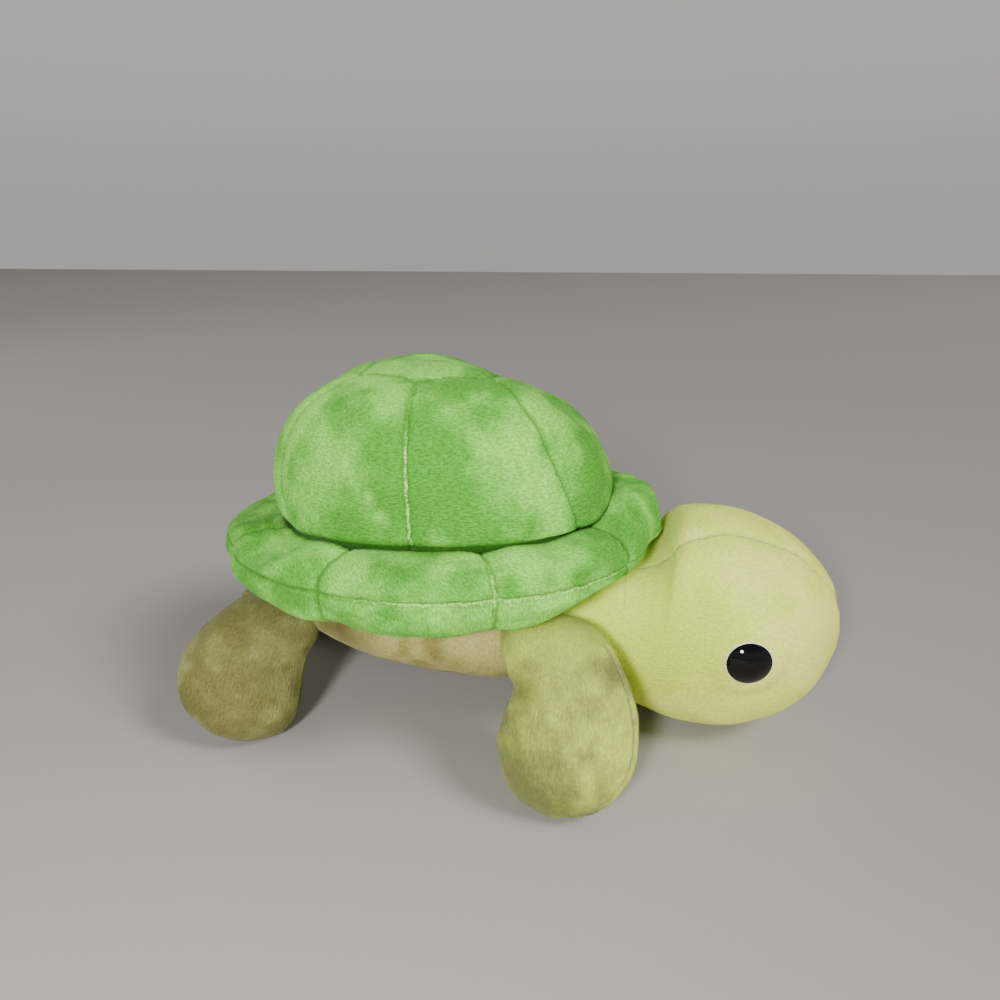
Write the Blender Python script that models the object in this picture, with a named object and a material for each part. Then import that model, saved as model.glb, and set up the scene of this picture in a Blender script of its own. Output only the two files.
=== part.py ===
"""A stuffed toy turtle: cloth panels over fibre filling, each panel and filling its own solid.

Metres, +Z up, head towards +X, the right side towards -Y. The origin is the middle of the footprint, on the
floor. Places along and across are taken from the middle of the shell, and heights from the rim's edge seam.
"""

import math

import bmesh
import bpy
from mathutils import Matrix, Vector

# Cloth and sewing
CLOTH = 0.0020
SEAM_GAP = 0.0003
TURN_GAP = 0.0008
SOLE_FLAT = 0.0005
OVERRUN = 0.020

# Shell: the rim's edge seam lies in one plane, which tips up towards the head
SHELL_HEIGHT = 0.098
SHELL_TILT = math.radians(1.4)
RIM_HALF_LENGTH = 0.0895
RIM_HALF_WIDTH = 0.0715
RIM_TUBE_ACROSS = 0.0205
RIM_TUBE_UP = 0.0135
RIM_TUBE_DOWN = 0.0215
RIM_SEGMENTS = 8
RIM_PINCH_SHARE = 0.06
RIM_COLUMNS = 32
RIM_ROWS = 10

# Dome over the rim
DOME_HALF_LENGTH = 0.083
DOME_HALF_WIDTH = 0.068
DOME_HEIGHT = 0.083
DOME_WIDEST_HEIGHT = 0.025
DOME_TUCK = 0.060
DOME_LEAN = 0.007
DOME_SQUARE = 2.2
DOME_SIDE_FLAT_SHARE = 0.14
DOME_PANELS = 6
DOME_TOP_SHARE = 0.45
DOME_COLUMNS = 24
DOME_ROWS = 12
BASE_CLOTH = 0.0015

# Body under the shell
BODY_AHEAD = 0.003
BODY_HALF_LENGTH = 0.086
BODY_HALF_WIDTH = 0.057
BODY_DROP = 0.040
BODY_RISE = 0.060
BODY_BELOW_RIM = 0.0345
BODY_SQUARE = 2.4
BODY_TOP_SQUARE = 3.0
BODY_SLOPE = math.radians(3)
BODY_CLOTH_TOP = 0.010
BELLY_SEAM_BELOW_RIM = 0.062
BODY_COLUMNS = 24
BODY_ROWS = 12

# Head and neck
HEAD_AHEAD = 0.1425
HEAD_BELOW_RIM = 0.0435
HEAD_HALF_LENGTH = 0.0568
HEAD_HALF_WIDTH = 0.050
HEAD_HALF_HEIGHT = 0.055
HEAD_JOWL_SQUARE = 0.6
HEAD_RIM_GAP = 0.006
TOP_GUSSET_HALF_ANGLE = math.radians(19.5)
CHIN_GUSSET_HALF_ANGLE = math.radians(24)
HEAD_COLUMNS = 16
HEAD_ROWS = 12
NECK_AHEAD = 0.086
NECK_RADIUS = 0.0225

# Eyes
EYE_RADIUS = 0.0100
EYE_DOME = 0.0038
EYE_AHEAD = 0.0032
EYE_ABOVE = 0.0015
EYE_SHANK_RADIUS = 0.0024
EYE_SHANK_LENGTH = 0.0130
EYE_RING_OVERHANG = 0.0006
EYE_RING_THICKNESS = 0.0006
WASHER_RADIUS = 0.0085
WASHER_THICKNESS = 0.0012
WASHER_DEPTH = 0.0040

# Legs and tail: a limb's section swells evenly from its root's radius to its tip's half width and half depth,
# and a leg's foot is a place on the floor
LEG_COLUMNS = 12
LEG_ROWS = 8
ARMHOLE_FLARE = 0.008
FRONT_ROOT = Vector((0.060, 0.060, -0.0425))
FRONT_FOOT = Vector((0.0705, 0.095, 0.0))
FRONT_ROOT_RADIUS = 0.0195
FRONT_TIP_WIDTH = 0.050
FRONT_TIP_DEPTH = 0.029
FRONT_YAW = math.radians(16)
HIND_ROOT = Vector((-0.080, 0.042, -0.045))
HIND_FOOT = Vector((-0.0985, 0.057, 0.0))
HIND_ROOT_RADIUS = 0.0195
HIND_TIP_WIDTH = 0.049
HIND_TIP_DEPTH = 0.032
HIND_YAW = math.radians(-8)
TAIL_ROOT = Vector((-0.079, 0.0, -0.048))
TAIL_LENGTH = 0.034
TAIL_ROOT_RADIUS = 0.0085
TAIL_TIP_WIDTH = 0.012
TAIL_TIP_DEPTH = 0.009
TAIL_DROOP = math.radians(2)
TAIL_COLUMNS = 10
TAIL_ROWS = 8

# Facets of round pieces; a socket has more than the ball or the limb that turns in it
NECK_COLUMNS = 16
NECK_ROWS = 10
NECK_SOCKET_COLUMNS = 22
NECK_SOCKET_ROWS = 14
ARMHOLE_COLUMNS = 16
ARMHOLE_ROWS = 10
ROUND_COLUMNS = 16
EYE_ARC_STEPS = 3

GREEN = (0.20, 0.46, 0.13, 1.0)
PALE = (0.56, 0.59, 0.25, 1.0)
BELLY = (0.44, 0.36, 0.17, 1.0)
WHITE = (0.85, 0.85, 0.80, 1.0)
BLACK = (0.006, 0.006, 0.008, 1.0)
FIBRE = (0.80, 0.80, 0.78, 1.0)


def clear_scene():
    for old in list(bpy.data.objects):
        bpy.data.objects.remove(old, do_unlink=True)


def make_material(name, colour, roughness):
    material = bpy.data.materials.new(name)
    material.use_nodes = True
    shader = material.node_tree.nodes["Principled BSDF"]
    shader.inputs["Base Color"].default_value = colour
    shader.inputs["Roughness"].default_value = roughness
    shader.inputs["Metallic"].default_value = 0.0
    material.diffuse_color = colour
    return material


def add_object(name, mesh, material=None, parent=None):
    item = bpy.data.objects.new(name, mesh)
    bpy.context.scene.collection.objects.link(item)
    item.parent = parent
    if material is not None:
        mesh.materials.append(material)
        mesh.shade_smooth()
    return item


def add_frame(name, place, parent=None):
    frame = bpy.data.objects.new(name, None)
    bpy.context.scene.collection.objects.link(frame)
    frame.parent = parent
    frame.location = place
    return frame


def add_cutter(name, mesh, parent=None):
    cutter = add_object(name, mesh, parent=parent)
    cutter.hide_render = True
    cutter.display_type = "WIRE"
    return cutter


def boolean(item, cutter, operation):
    modifier = item.modifiers.new(operation.lower() + "_" + cutter.name, "BOOLEAN")
    modifier.operation = operation
    modifier.object = cutter
    modifier.solver = "EXACT"


def mesh_of(bm, name):
    mesh = bpy.data.meshes.new(name)
    bm.to_mesh(mesh)
    bm.free()
    return mesh


def ball_form(columns, rows, place):
    """A closed ball whose vertices a function of their direction moves; columns are half a step off axis."""
    bm = bmesh.new()
    bmesh.ops.create_uvsphere(bm, u_segments=columns, v_segments=rows, radius=1.0)
    half_step = Matrix.Rotation(math.pi / columns, 3, "Z")
    for vertex in bm.verts:
        vertex.co = place(half_step @ vertex.co)
    bm.normal_update()
    return bm


def ball_mesh(name, columns, rows, radius):
    return mesh_of(ball_form(columns, rows, lambda way: way * radius), name)


def moved_out(form, distance):
    """A copy of a form with every face moved out by a distance."""
    bm = form.copy()
    bm.normal_update()
    moves = [vertex.normal * (distance * vertex.calc_shell_factor()) for vertex in bm.verts]
    for vertex, move in zip(bm.verts, moves):
        vertex.co += move
    bm.normal_update()
    return bm


def skin_mesh(name, form):
    """The form's surface with its own inner face, one cloth thickness further in."""
    inner = moved_out(form, -CLOTH)
    bmesh.ops.reverse_faces(inner, faces=inner.faces)
    inner_mesh = mesh_of(inner, name + "_inner")
    bm = form.copy()
    bm.from_mesh(inner_mesh)
    bpy.data.meshes.remove(inner_mesh)
    return mesh_of(bm, name)


def filling_mesh(name, form):
    return mesh_of(moved_out(form, -(CLOTH + SEAM_GAP)), name)


def prism_mesh(name, outline, low, high):
    """An upright prism on a plan outline that runs anticlockwise."""
    bm = bmesh.new()
    face = bm.faces.new([bm.verts.new((x, y, low)) for x, y in outline])
    bm.normal_update()
    if face.normal.z > 0:
        face.normal_flip()
    top = bmesh.ops.extrude_face_region(bm, geom=[face])
    raised = [part for part in top["geom"] if isinstance(part, bmesh.types.BMVert)]
    bmesh.ops.translate(bm, vec=(0, 0, high - low), verts=raised)
    bmesh.ops.recalc_face_normals(bm, faces=bm.faces)
    return mesh_of(bm, name)


def box_mesh(name, low, high):
    outline = [(low[0], low[1]), (high[0], low[1]), (high[0], high[1]), (low[0], high[1])]
    return prism_mesh(name, outline, low[2], high[2])


def wedge_outline(start, end, reach):
    """A plan sector between two directions, kept half a seam gap inside both."""
    half = (end - start) / 2
    clear = SEAM_GAP / 2
    sideways = reach * math.tan(half) - clear / math.cos(half)
    corners = [(reach, -sideways), (reach, sideways), (clear / math.sin(half), 0.0)]
    turn = Matrix.Rotation((start + end) / 2, 2)
    return [tuple(turn @ Vector(corner)) for corner in corners]


# Rim and dome, both in the tilted shell's own frame


def rim_radius(angle):
    """The distance of the rim tube's middle line from the shell's axis, in a direction."""
    return 1 / math.hypot(math.cos(angle) / RIM_HALF_LENGTH, math.sin(angle) / RIM_HALF_WIDTH)


def rim_swell(angle):
    """One in the middle of a rim segment, less at the seams between segments."""
    phase = math.sin(RIM_SEGMENTS * (angle + math.pi / 2) / 2 + math.pi / 2)
    return 1 - RIM_PINCH_SHARE * (1 - abs(phase))


def rim_form():
    """A tube spun round the shell's axis, then drawn out to the rim's oval and drawn in at its seams."""
    bm = bmesh.new()
    half_step = math.pi / RIM_ROWS
    ring = bmesh.ops.create_circle(bm, segments=RIM_ROWS, radius=RIM_TUBE_ACROSS)
    upright = Matrix.Translation((RIM_HALF_LENGTH, 0, 0)) @ Matrix.Rotation(math.pi / 2, 4, "X")
    half_column = Matrix.Rotation(math.pi / RIM_COLUMNS, 4, "Z")
    section = half_column @ upright @ Matrix.Rotation(half_step, 4, "Z")
    bmesh.ops.transform(bm, matrix=section, verts=ring["verts"])
    bmesh.ops.spin(bm, geom=list(bm.verts) + list(bm.edges), cent=(0, 0, 0), axis=(0, 0, 1),
                   angle=2 * math.pi, steps=RIM_COLUMNS, use_merge=True)
    for vertex in bm.verts:
        angle = math.atan2(vertex.co.y, vertex.co.x)
        swell = rim_swell(angle)
        outward = (math.hypot(vertex.co.x, vertex.co.y) - RIM_HALF_LENGTH) * swell
        half_height = RIM_TUBE_UP if vertex.co.z > 0 else RIM_TUBE_DOWN
        upward = vertex.co.z / RIM_TUBE_ACROSS * half_height * swell
        distance = rim_radius(angle) + outward
        vertex.co = (distance * math.cos(angle), distance * math.sin(angle), upward)
    bmesh.ops.recalc_face_normals(bm, faces=bm.faces)
    bm.normal_update()
    return bm


def dome_place(way):
    """A squared-off dome: gores that flatten towards the top, drawn in below its widest level, leaning back."""
    flat = math.hypot(way.x, way.y)
    scale = (flat ** DOME_SQUARE + abs(way.z) ** DOME_SQUARE) ** (-1 / DOME_SQUARE)
    rise = DOME_HEIGHT - DOME_WIDEST_HEIGHT if way.z > 0 else DOME_TUCK
    level = max(way.z * scale, 0.0)
    off_seam = (1 + math.cos(DOME_PANELS * math.atan2(way.y, way.x))) / 2
    spread = scale * (1 - DOME_SIDE_FLAT_SHARE * level * off_seam)
    along = way.x * spread * DOME_HALF_LENGTH - DOME_LEAN * level ** 2
    return Vector((along, way.y * spread * DOME_HALF_WIDTH, DOME_WIDEST_HEIGHT + way.z * scale * rise))


def dome_base_radius(angle):
    return 1 / math.hypot(math.cos(angle) / DOME_HALF_LENGTH, math.sin(angle) / DOME_HALF_WIDTH)


def make_shell(turtle, cloth, filling):
    """The rim, the dome and the cloth between them; returns the cutters that they need in other pieces."""
    shell = add_frame("shell_frame", (0, 0, SHELL_HEIGHT), turtle)
    shell.rotation_euler = (0, -SHELL_TILT, 0)

    rim = rim_form()
    dome = ball_form(DOME_COLUMNS, DOME_ROWS, dome_place)
    reach = (RIM_HALF_LENGTH + RIM_TUBE_ACROSS) / math.cos(math.pi / DOME_PANELS) + OVERRUN
    clear = SEAM_GAP / 2

    rim_cutter = add_cutter("rim_clearance", mesh_of(moved_out(rim, SEAM_GAP), "rim_clearance"), shell)
    above = BASE_CLOTH / 2 + SEAM_GAP
    below_mesh = box_mesh("below_base", (-reach, -reach, -reach), (reach, reach, above))
    below_base = add_cutter("below_base", below_mesh, shell)
    above_mesh = box_mesh("above_base", (-reach, -reach, -above), (reach, reach, reach))
    above_base = add_cutter("above_base", above_mesh, shell)
    hidden_mesh = box_mesh("inside_rim", (-reach, -reach, -BODY_CLOTH_TOP), (reach, reach, reach))
    inside_rim = add_cutter("inside_rim", hidden_mesh, shell)

    rim_skin = skin_mesh("rim_skin", rim)
    step = 2 * math.pi / RIM_SEGMENTS
    for number in range(RIM_SEGMENTS):
        start = -math.pi / 2 + (number - 0.5) * step
        outline = wedge_outline(start, start + step, reach)
        upper_block = ("upper", clear, RIM_TUBE_UP + OVERRUN)
        lower_block = ("lower", -RIM_TUBE_DOWN - OVERRUN, -clear)
        for level, low, high in (upper_block, lower_block):
            name = "rim_" + level + "_panel_" + str(number + 1)
            part = add_object(name, rim_skin.copy(), cloth, shell)
            wedge = add_cutter(name + "_cut", prism_mesh(name + "_cut", outline, low, high), shell)
            boolean(part, wedge, "INTERSECT")
    add_object("rim_filling", filling_mesh("rim_filling", rim), filling, shell)

    dome_skin = skin_mesh("dome_skin", dome)
    step = 2 * math.pi / DOME_PANELS
    corners = []
    for number in range(DOME_PANELS):
        angle = -math.pi / 2 + number * step
        corners.append(Vector((math.cos(angle), math.sin(angle))) * dome_base_radius(angle) * DOME_TOP_SHARE)
    high = DOME_HEIGHT + OVERRUN
    top = add_object("dome_top_panel", dome_skin.copy(), cloth, shell)
    inset = [corner - corner.normalized() * SEAM_GAP for corner in corners]
    top_cut = add_cutter("dome_top_cut", prism_mesh("dome_top_cut", inset, DOME_WIDEST_HEIGHT, high), shell)
    boolean(top, top_cut, "INTERSECT")
    for number in range(DOME_PANELS):
        name = "dome_side_panel_" + str(number + 1)
        near, far = corners[number], corners[(number + 1) % DOME_PANELS]
        outline = side_outline(near, far, reach)
        part = add_object(name, dome_skin.copy(), cloth, shell)
        wedge = add_cutter(name + "_cut", prism_mesh(name + "_cut", outline, above, high), shell)
        boolean(part, wedge, "INTERSECT")
        boolean(part, rim_cutter, "DIFFERENCE")
    core = add_object("dome_filling", filling_mesh("dome_filling", dome), filling, shell)
    boolean(core, below_base, "DIFFERENCE")
    boolean(core, rim_cutter, "DIFFERENCE")

    inner_edge = []
    for column in range(RIM_COLUMNS):
        angle = 2 * math.pi * (column + 0.5) / RIM_COLUMNS
        distance = rim_radius(angle) - RIM_TUBE_ACROSS - SEAM_GAP
        inner_edge.append((distance * math.cos(angle), distance * math.sin(angle)))
    base = prism_mesh("shell_base_cloth", inner_edge, -BASE_CLOTH / 2, BASE_CLOTH / 2)
    add_object("shell_base_cloth", base, cloth, shell)
    rim_room = add_cutter("rim_room", mesh_of(moved_out(rim, HEAD_RIM_GAP), "rim_room"), shell)
    return rim_cutter, above_base, inside_rim, rim_room


def side_outline(near, far, reach):
    """The plan of one dome gore: the hexagon's side between two corners, drawn out to the rim."""
    clear = SEAM_GAP / 2
    start = near.normalized()
    end = far.normalized()
    edge = (far - near).normalized()
    outward = Vector((edge.y, -edge.x))
    start_in = Vector((-start.y, start.x)) * clear
    end_in = Vector((end.y, -end.x)) * clear
    return [near + outward * clear + start_in, start * reach + start_in, end * reach + end_in,
            far + outward * clear + end_in]


# Body


def body_place(way):
    """A squared-off oval bag, round below and straighter above, where it reaches up into the shell."""
    round_flat = math.hypot(way.x, way.y)
    square_flat = (abs(way.x) ** BODY_SQUARE + abs(way.y) ** BODY_SQUARE) ** (1 / BODY_SQUARE)
    ease = round_flat / square_flat if square_flat > 0 else 1.0
    rise = BODY_DROP
    if way.z > 0:
        rise = BODY_RISE
        ease *= (round_flat ** BODY_TOP_SQUARE + way.z ** BODY_TOP_SQUARE) ** (-1 / BODY_TOP_SQUARE)
    along = way.x * ease * BODY_HALF_LENGTH
    return Vector((BODY_AHEAD + along, way.y * ease * BODY_HALF_WIDTH,
                   SHELL_HEIGHT - BODY_BELOW_RIM + way.z * rise - along * math.tan(BODY_SLOPE)))


def make_body(turtle, belly, filling, cloth_cutters, core_cutters):
    """The belly panel and the two side panels over the body's filling."""
    form = ball_form(BODY_COLUMNS, BODY_ROWS, body_place)
    reach = BODY_HALF_LENGTH + BODY_AHEAD + OVERRUN
    clear = SEAM_GAP / 2
    seam = SHELL_HEIGHT - BELLY_SEAM_BELOW_RIM
    top = SHELL_HEIGHT + OVERRUN
    skin = skin_mesh("body_skin", form)
    blocks = {
        "belly_panel": ((-reach, -reach, -OVERRUN), (reach, reach, seam - clear)),
        "body_side_right": ((-reach, -reach, seam + clear), (reach, -clear, top)),
        "body_side_left": ((-reach, clear, seam + clear), (reach, reach, top)),
    }
    for name, (low, high) in blocks.items():
        part = add_object(name, skin.copy(), belly, turtle)
        block = add_cutter(name + "_cut", box_mesh(name + "_cut", low, high), turtle)
        for cutter in cloth_cutters:
            boolean(part, cutter, "DIFFERENCE")
        boolean(part, block, "INTERSECT")
    core = add_object("body_filling", filling_mesh("body_filling", form), filling, turtle)
    for cutter in core_cutters:
        boolean(core, cutter, "DIFFERENCE")


# Head


def head_place(way):
    """An egg, squarer low down at the back, where its jowls are full; places from the middle of the neck."""
    jowl = 2 * max(-way.x, 0.0) * max(-way.z, 0.0)
    square = 2 + HEAD_JOWL_SQUARE * jowl
    ease = (abs(way.x) ** square + abs(way.y) ** square + abs(way.z) ** square) ** (-1 / square)
    return Vector((HEAD_AHEAD - NECK_AHEAD + way.x * ease * HEAD_HALF_LENGTH, way.y * ease * HEAD_HALF_WIDTH,
                   way.z * ease * HEAD_HALF_HEIGHT))


def make_head(turtle, cloth, filling, white, black, rim_room):
    """Four cloth panels round the filling, parted by planes through the line from neck to nose."""
    height = SHELL_HEIGHT - HEAD_BELOW_RIM
    neck = add_frame("neck_frame", (NECK_AHEAD, 0, height), turtle)
    middle = Vector((HEAD_AHEAD - NECK_AHEAD, 0, 0))
    socket_mesh = ball_mesh("neck_socket", NECK_SOCKET_COLUMNS, NECK_SOCKET_ROWS, NECK_RADIUS + TURN_GAP)
    neck_socket = add_cutter("neck_socket", socket_mesh, neck)
    add_object("neck_filling", ball_mesh("neck_filling", NECK_COLUMNS, NECK_ROWS, NECK_RADIUS), filling, neck)

    form = ball_form_along_x(HEAD_COLUMNS, HEAD_ROWS, head_place)
    skin = skin_mesh("head_skin", form)
    length = HEAD_HALF_LENGTH + OVERRUN
    reach = HEAD_HALF_HEIGHT + OVERRUN
    under = -height - OVERRUN
    floor_mesh = box_mesh("head_floor", (-length, -reach, under), (length, reach, -height))
    floor = add_cutter("head_floor", floor_mesh, neck)
    floor.location = middle

    side_angle = math.pi - TOP_GUSSET_HALF_ANGLE - CHIN_GUSSET_HALF_ANGLE
    top_edge = TOP_GUSSET_HALF_ANGLE
    sectors = {
        "head_top_gusset": (-top_edge, top_edge),
        "head_side_left": (top_edge, top_edge + side_angle),
        "head_chin_gusset": (top_edge + side_angle, top_edge + side_angle + 2 * CHIN_GUSSET_HALF_ANGLE),
        "head_side_right": (-top_edge - side_angle, -top_edge),
    }
    eyes = [make_eye(side, neck, middle, white, black) for side in ("right", "left")]
    for name, (start, end) in sectors.items():
        part = add_object(name, skin.copy(), cloth, neck)
        cut = add_cutter(name + "_cut", sector_mesh(name + "_cut", start, end, reach, length), neck)
        cut.location = middle
        cut.rotation_euler = (0, math.pi / 2, 0)
        for cutter in (neck_socket, rim_room, floor):
            boolean(part, cutter, "DIFFERENCE")
        boolean(part, cut, "INTERSECT")
        for side, seat, pocket in eyes:
            if name.endswith(side):
                boolean(part, seat, "DIFFERENCE")
    core = add_object("head_filling", filling_mesh("head_filling", form), filling, neck)
    for cutter in [neck_socket, rim_room] + [pocket for side, seat, pocket in eyes]:
        boolean(core, cutter, "DIFFERENCE")
    return neck_socket


def ball_form_along_x(columns, rows, place):
    """The ball form with its poles at the nose and the neck."""
    turn = Matrix.Rotation(math.pi / 2, 3, "Y")
    return ball_form(columns, rows, lambda way: place(turn @ way))


def sector_mesh(name, start, end, reach, length):
    """A sector prism; once it lies along X, its angles run from straight up towards the left side."""
    turn = math.pi
    half = (end - start) / 2
    if half < math.pi / 3:
        outline = wedge_outline(turn - end, turn - start, reach)
    else:
        outline = wide_outline(turn - end, turn - start, reach)
    return prism_mesh(name, outline, -length, length)


def wide_outline(start, end, reach):
    """A plan sector too wide for one straight far edge: its far corners are taken at equal steps."""
    middle = (start + end) / 2
    half = (end - start) / 2
    clear = SEAM_GAP / 2
    apex = Vector((clear / math.sin(half), 0.0))
    corners = [apex]
    for share in (-1.0, -0.5, 0.0, 0.5, 1.0):
        angle = half * share
        corners.append(apex + Vector((math.cos(angle), math.sin(angle))) * reach * math.sqrt(2))
    turn = Matrix.Rotation(middle, 2)
    return [tuple(turn @ corner) for corner in corners]


def turned_mesh(name, profile):
    """A closed turned solid from a profile of (radius, height) points that starts and ends on the axis."""
    bm = bmesh.new()
    points = [bm.verts.new((radius, 0, height)) for radius, height in profile]
    for start, end in zip(points, points[1:]):
        bm.edges.new((start, end))
    bmesh.ops.spin(bm, geom=list(bm.verts) + list(bm.edges), cent=(0, 0, 0), axis=(0, 0, 1),
                   angle=2 * math.pi, steps=ROUND_COLUMNS, use_merge=True)
    bmesh.ops.remove_doubles(bm, verts=bm.verts, dist=SEAM_GAP / 10)
    bmesh.ops.recalc_face_normals(bm, faces=bm.faces)
    return mesh_of(bm, name)


def washer_mesh(name, inner, outer, low, high):
    """A flat ring, spun from its section."""
    bm = bmesh.new()
    section = [(inner, low), (outer, low), (outer, high), (inner, high)]
    points = [bm.verts.new((radius, 0, height)) for radius, height in section]
    for start, end in zip(points, points[1:] + points[:1]):
        bm.edges.new((start, end))
    bmesh.ops.spin(bm, geom=list(bm.verts) + list(bm.edges), cent=(0, 0, 0), axis=(0, 0, 1),
                   angle=2 * math.pi, steps=ROUND_COLUMNS, use_merge=True)
    bmesh.ops.recalc_face_normals(bm, faces=bm.faces)
    return mesh_of(bm, name)


def make_eye(side, neck, middle, white, black):
    """A domed eye on a shank, a white ring under it and a lock washer inside; returns its two cutters."""
    sign = -1 if side == "right" else 1
    along = EYE_AHEAD / HEAD_HALF_LENGTH
    above = EYE_ABOVE / HEAD_HALF_HEIGHT
    across = math.sqrt(1 - along ** 2 - above ** 2)
    surface = middle + Vector((EYE_AHEAD, sign * across * HEAD_HALF_WIDTH, EYE_ABOVE))
    outward = Vector((along / HEAD_HALF_LENGTH, sign * across / HEAD_HALF_WIDTH, above / HEAD_HALF_HEIGHT))
    ring_radius = EYE_RADIUS + EYE_RING_OVERHANG
    seat_depth = EYE_RING_THICKNESS + 2 * SEAM_GAP
    cap = add_frame("eye_frame_" + side, surface, neck)
    cap.rotation_mode = "QUATERNION"
    cap.rotation_quaternion = outward.to_track_quat("Z", "Y")

    ball = (EYE_RADIUS ** 2 + EYE_DOME ** 2) / (2 * EYE_DOME)
    widest = math.asin(EYE_RADIUS / ball)
    profile = [(0.0, EYE_DOME)]
    for step in range(1, EYE_ARC_STEPS + 1):
        angle = widest * step / EYE_ARC_STEPS
        profile.append((ball * math.sin(angle), ball * math.cos(angle) - ball + EYE_DOME))
    profile += [(EYE_SHANK_RADIUS, 0.0), (EYE_SHANK_RADIUS, -EYE_SHANK_LENGTH), (0.0, -EYE_SHANK_LENGTH)]
    add_object("eye_" + side, turned_mesh("eye_" + side, profile), black, cap)

    hole = EYE_SHANK_RADIUS + SEAM_GAP
    ring = washer_mesh("eye_ring_" + side, hole, ring_radius, SEAM_GAP - seat_depth, -SEAM_GAP)
    add_object("eye_ring_" + side, ring, white, cap)
    washer_back = -WASHER_DEPTH - WASHER_THICKNESS
    washer = washer_mesh("eye_washer_" + side, hole, WASHER_RADIUS, washer_back, -WASHER_DEPTH)
    add_object("eye_washer_" + side, washer, white, cap)

    seat_profile = [(0.0, OVERRUN), (ring_radius + SEAM_GAP, OVERRUN), (ring_radius + SEAM_GAP, -seat_depth),
                    (hole, -seat_depth), (hole, -OVERRUN), (0.0, -OVERRUN)]
    seat_name = "eye_seat_" + side
    seat = add_cutter(seat_name, turned_mesh(seat_name, seat_profile), cap)
    pocket_radius = WASHER_RADIUS + SEAM_GAP
    pocket_depth = -EYE_SHANK_LENGTH - SEAM_GAP
    pocket_profile = [(0.0, OVERRUN), (pocket_radius, OVERRUN), (pocket_radius, pocket_depth),
                      (0.0, pocket_depth)]
    pocket_name = "eye_pocket_" + side
    pocket = add_cutter(pocket_name, turned_mesh(pocket_name, pocket_profile), cap)
    return side, seat, pocket


# Legs and tail


def limb_axes(reach, yaw):
    """The limb's own axes: across its width, through its thickness, and along it to the tip."""
    along = reach.normalized()
    facing = Vector((math.cos(yaw), math.sin(yaw), 0.0))
    width = (facing - along * facing.dot(along)).normalized()
    return width, along.cross(width), along


def limb_form(columns, rows, reach, yaw, root_radius, tip_width, tip_depth):
    """A ball round the root that swells and flattens into a paddle towards its rounded tip."""
    width, thick, along = limb_axes(reach, yaw)

    def place(way):
        if way.z < 0:
            return (width * way.x + thick * way.y + along * way.z) * root_radius
        wide = root_radius + (tip_width - root_radius) * way.z
        deep = root_radius + (tip_depth - root_radius) * way.z
        return width * way.x * wide + thick * way.y * deep + along * way.z * reach.length

    return ball_form(columns, rows, place)


def armhole(name, frame, reach, yaw, root_radius, tip_width, tip_depth):
    """The room that a limb needs where it is sewn on: a ball seat that flares along the limb."""
    form = limb_form(ARMHOLE_COLUMNS, ARMHOLE_ROWS, reach, yaw, root_radius + TURN_GAP,
                     tip_width + ARMHOLE_FLARE, tip_depth + ARMHOLE_FLARE)
    return add_cutter(name, mesh_of(form, name), frame)


def make_leg(turtle, name, root, foot, yaw, root_radius, tip_width, tip_depth, cloth, filling):
    """An outer and an inner panel, sewn round the paddle's edge, over the filling; returns its armhole."""
    sizes = (foot - root, yaw, root_radius, tip_width, tip_depth)
    form = limb_form(LEG_COLUMNS, LEG_ROWS, *sizes)
    lowest = min(vertex.co.z for vertex in form.verts)
    frame = add_frame(name + "_frame", (root.x, root.y, -lowest - SOLE_FLAT), turtle)
    skin = skin_mesh(name + "_skin", form)
    far = tip_width + sizes[0].length + OVERRUN
    clear = SEAM_GAP / 2
    width, thick, along = limb_axes(foot - root, yaw)
    floor_mesh = box_mesh(name + "_floor", (-far, -far, lowest - OVERRUN), (far, far, lowest + SOLE_FLAT))
    floor = add_cutter(name + "_floor", floor_mesh, frame)
    outside = 1 if thick.y * root.y > 0 else -1
    for panel, sign in (("outer", outside), ("inner", -outside)):
        part = add_object(name + "_" + panel + "_panel", skin.copy(), cloth, frame)
        low, high = (clear, far) if sign > 0 else (-far, -clear)
        block_name = name + "_" + panel + "_cut"
        block = add_cutter(block_name, box_mesh(block_name, (-far, low, -far), (far, high, far)), frame)
        block.rotation_mode = "QUATERNION"
        block.rotation_quaternion = Matrix((width, thick, along)).transposed().to_quaternion()
        boolean(part, block, "INTERSECT")
        boolean(part, floor, "DIFFERENCE")
    add_object(name + "_filling", filling_mesh(name + "_filling", form), filling, frame)
    return armhole(name + "_armhole", frame, *sizes)


def make_tail(turtle, cloth, filling):
    """A small teardrop, its cover open where it is sewn on; returns its armhole."""
    frame = add_frame("tail_frame", from_floor(TAIL_ROOT), turtle)
    reach = Vector((-math.cos(TAIL_DROOP), 0, -math.sin(TAIL_DROOP))) * TAIL_LENGTH
    sizes = (reach, math.pi / 2, TAIL_ROOT_RADIUS, TAIL_TIP_WIDTH, TAIL_TIP_DEPTH)
    form = limb_form(TAIL_COLUMNS, TAIL_ROWS, *sizes)
    cover = add_object("tail_cover", skin_mesh("tail_cover", form), cloth, frame)
    half_mouth = TAIL_ROOT_RADIUS / 2
    mouth_mesh = box_mesh("tail_mouth", (0, -half_mouth, -half_mouth),
                          (TAIL_ROOT_RADIUS + OVERRUN, half_mouth, half_mouth))
    boolean(cover, add_cutter("tail_mouth", mouth_mesh, frame), "DIFFERENCE")
    add_object("tail_filling", filling_mesh("tail_filling", form), filling, frame)
    return armhole("tail_armhole", frame, *sizes)


def hind_reach():
    """How far the hind feet reach behind the middle of the shell."""
    root = from_floor(HIND_ROOT)
    form = limb_form(LEG_COLUMNS, LEG_ROWS, HIND_FOOT - root, HIND_YAW, HIND_ROOT_RADIUS, HIND_TIP_WIDTH,
                     HIND_TIP_DEPTH)
    reach = -root.x - min(vertex.co.x for vertex in form.verts)
    form.free()
    return reach


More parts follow.
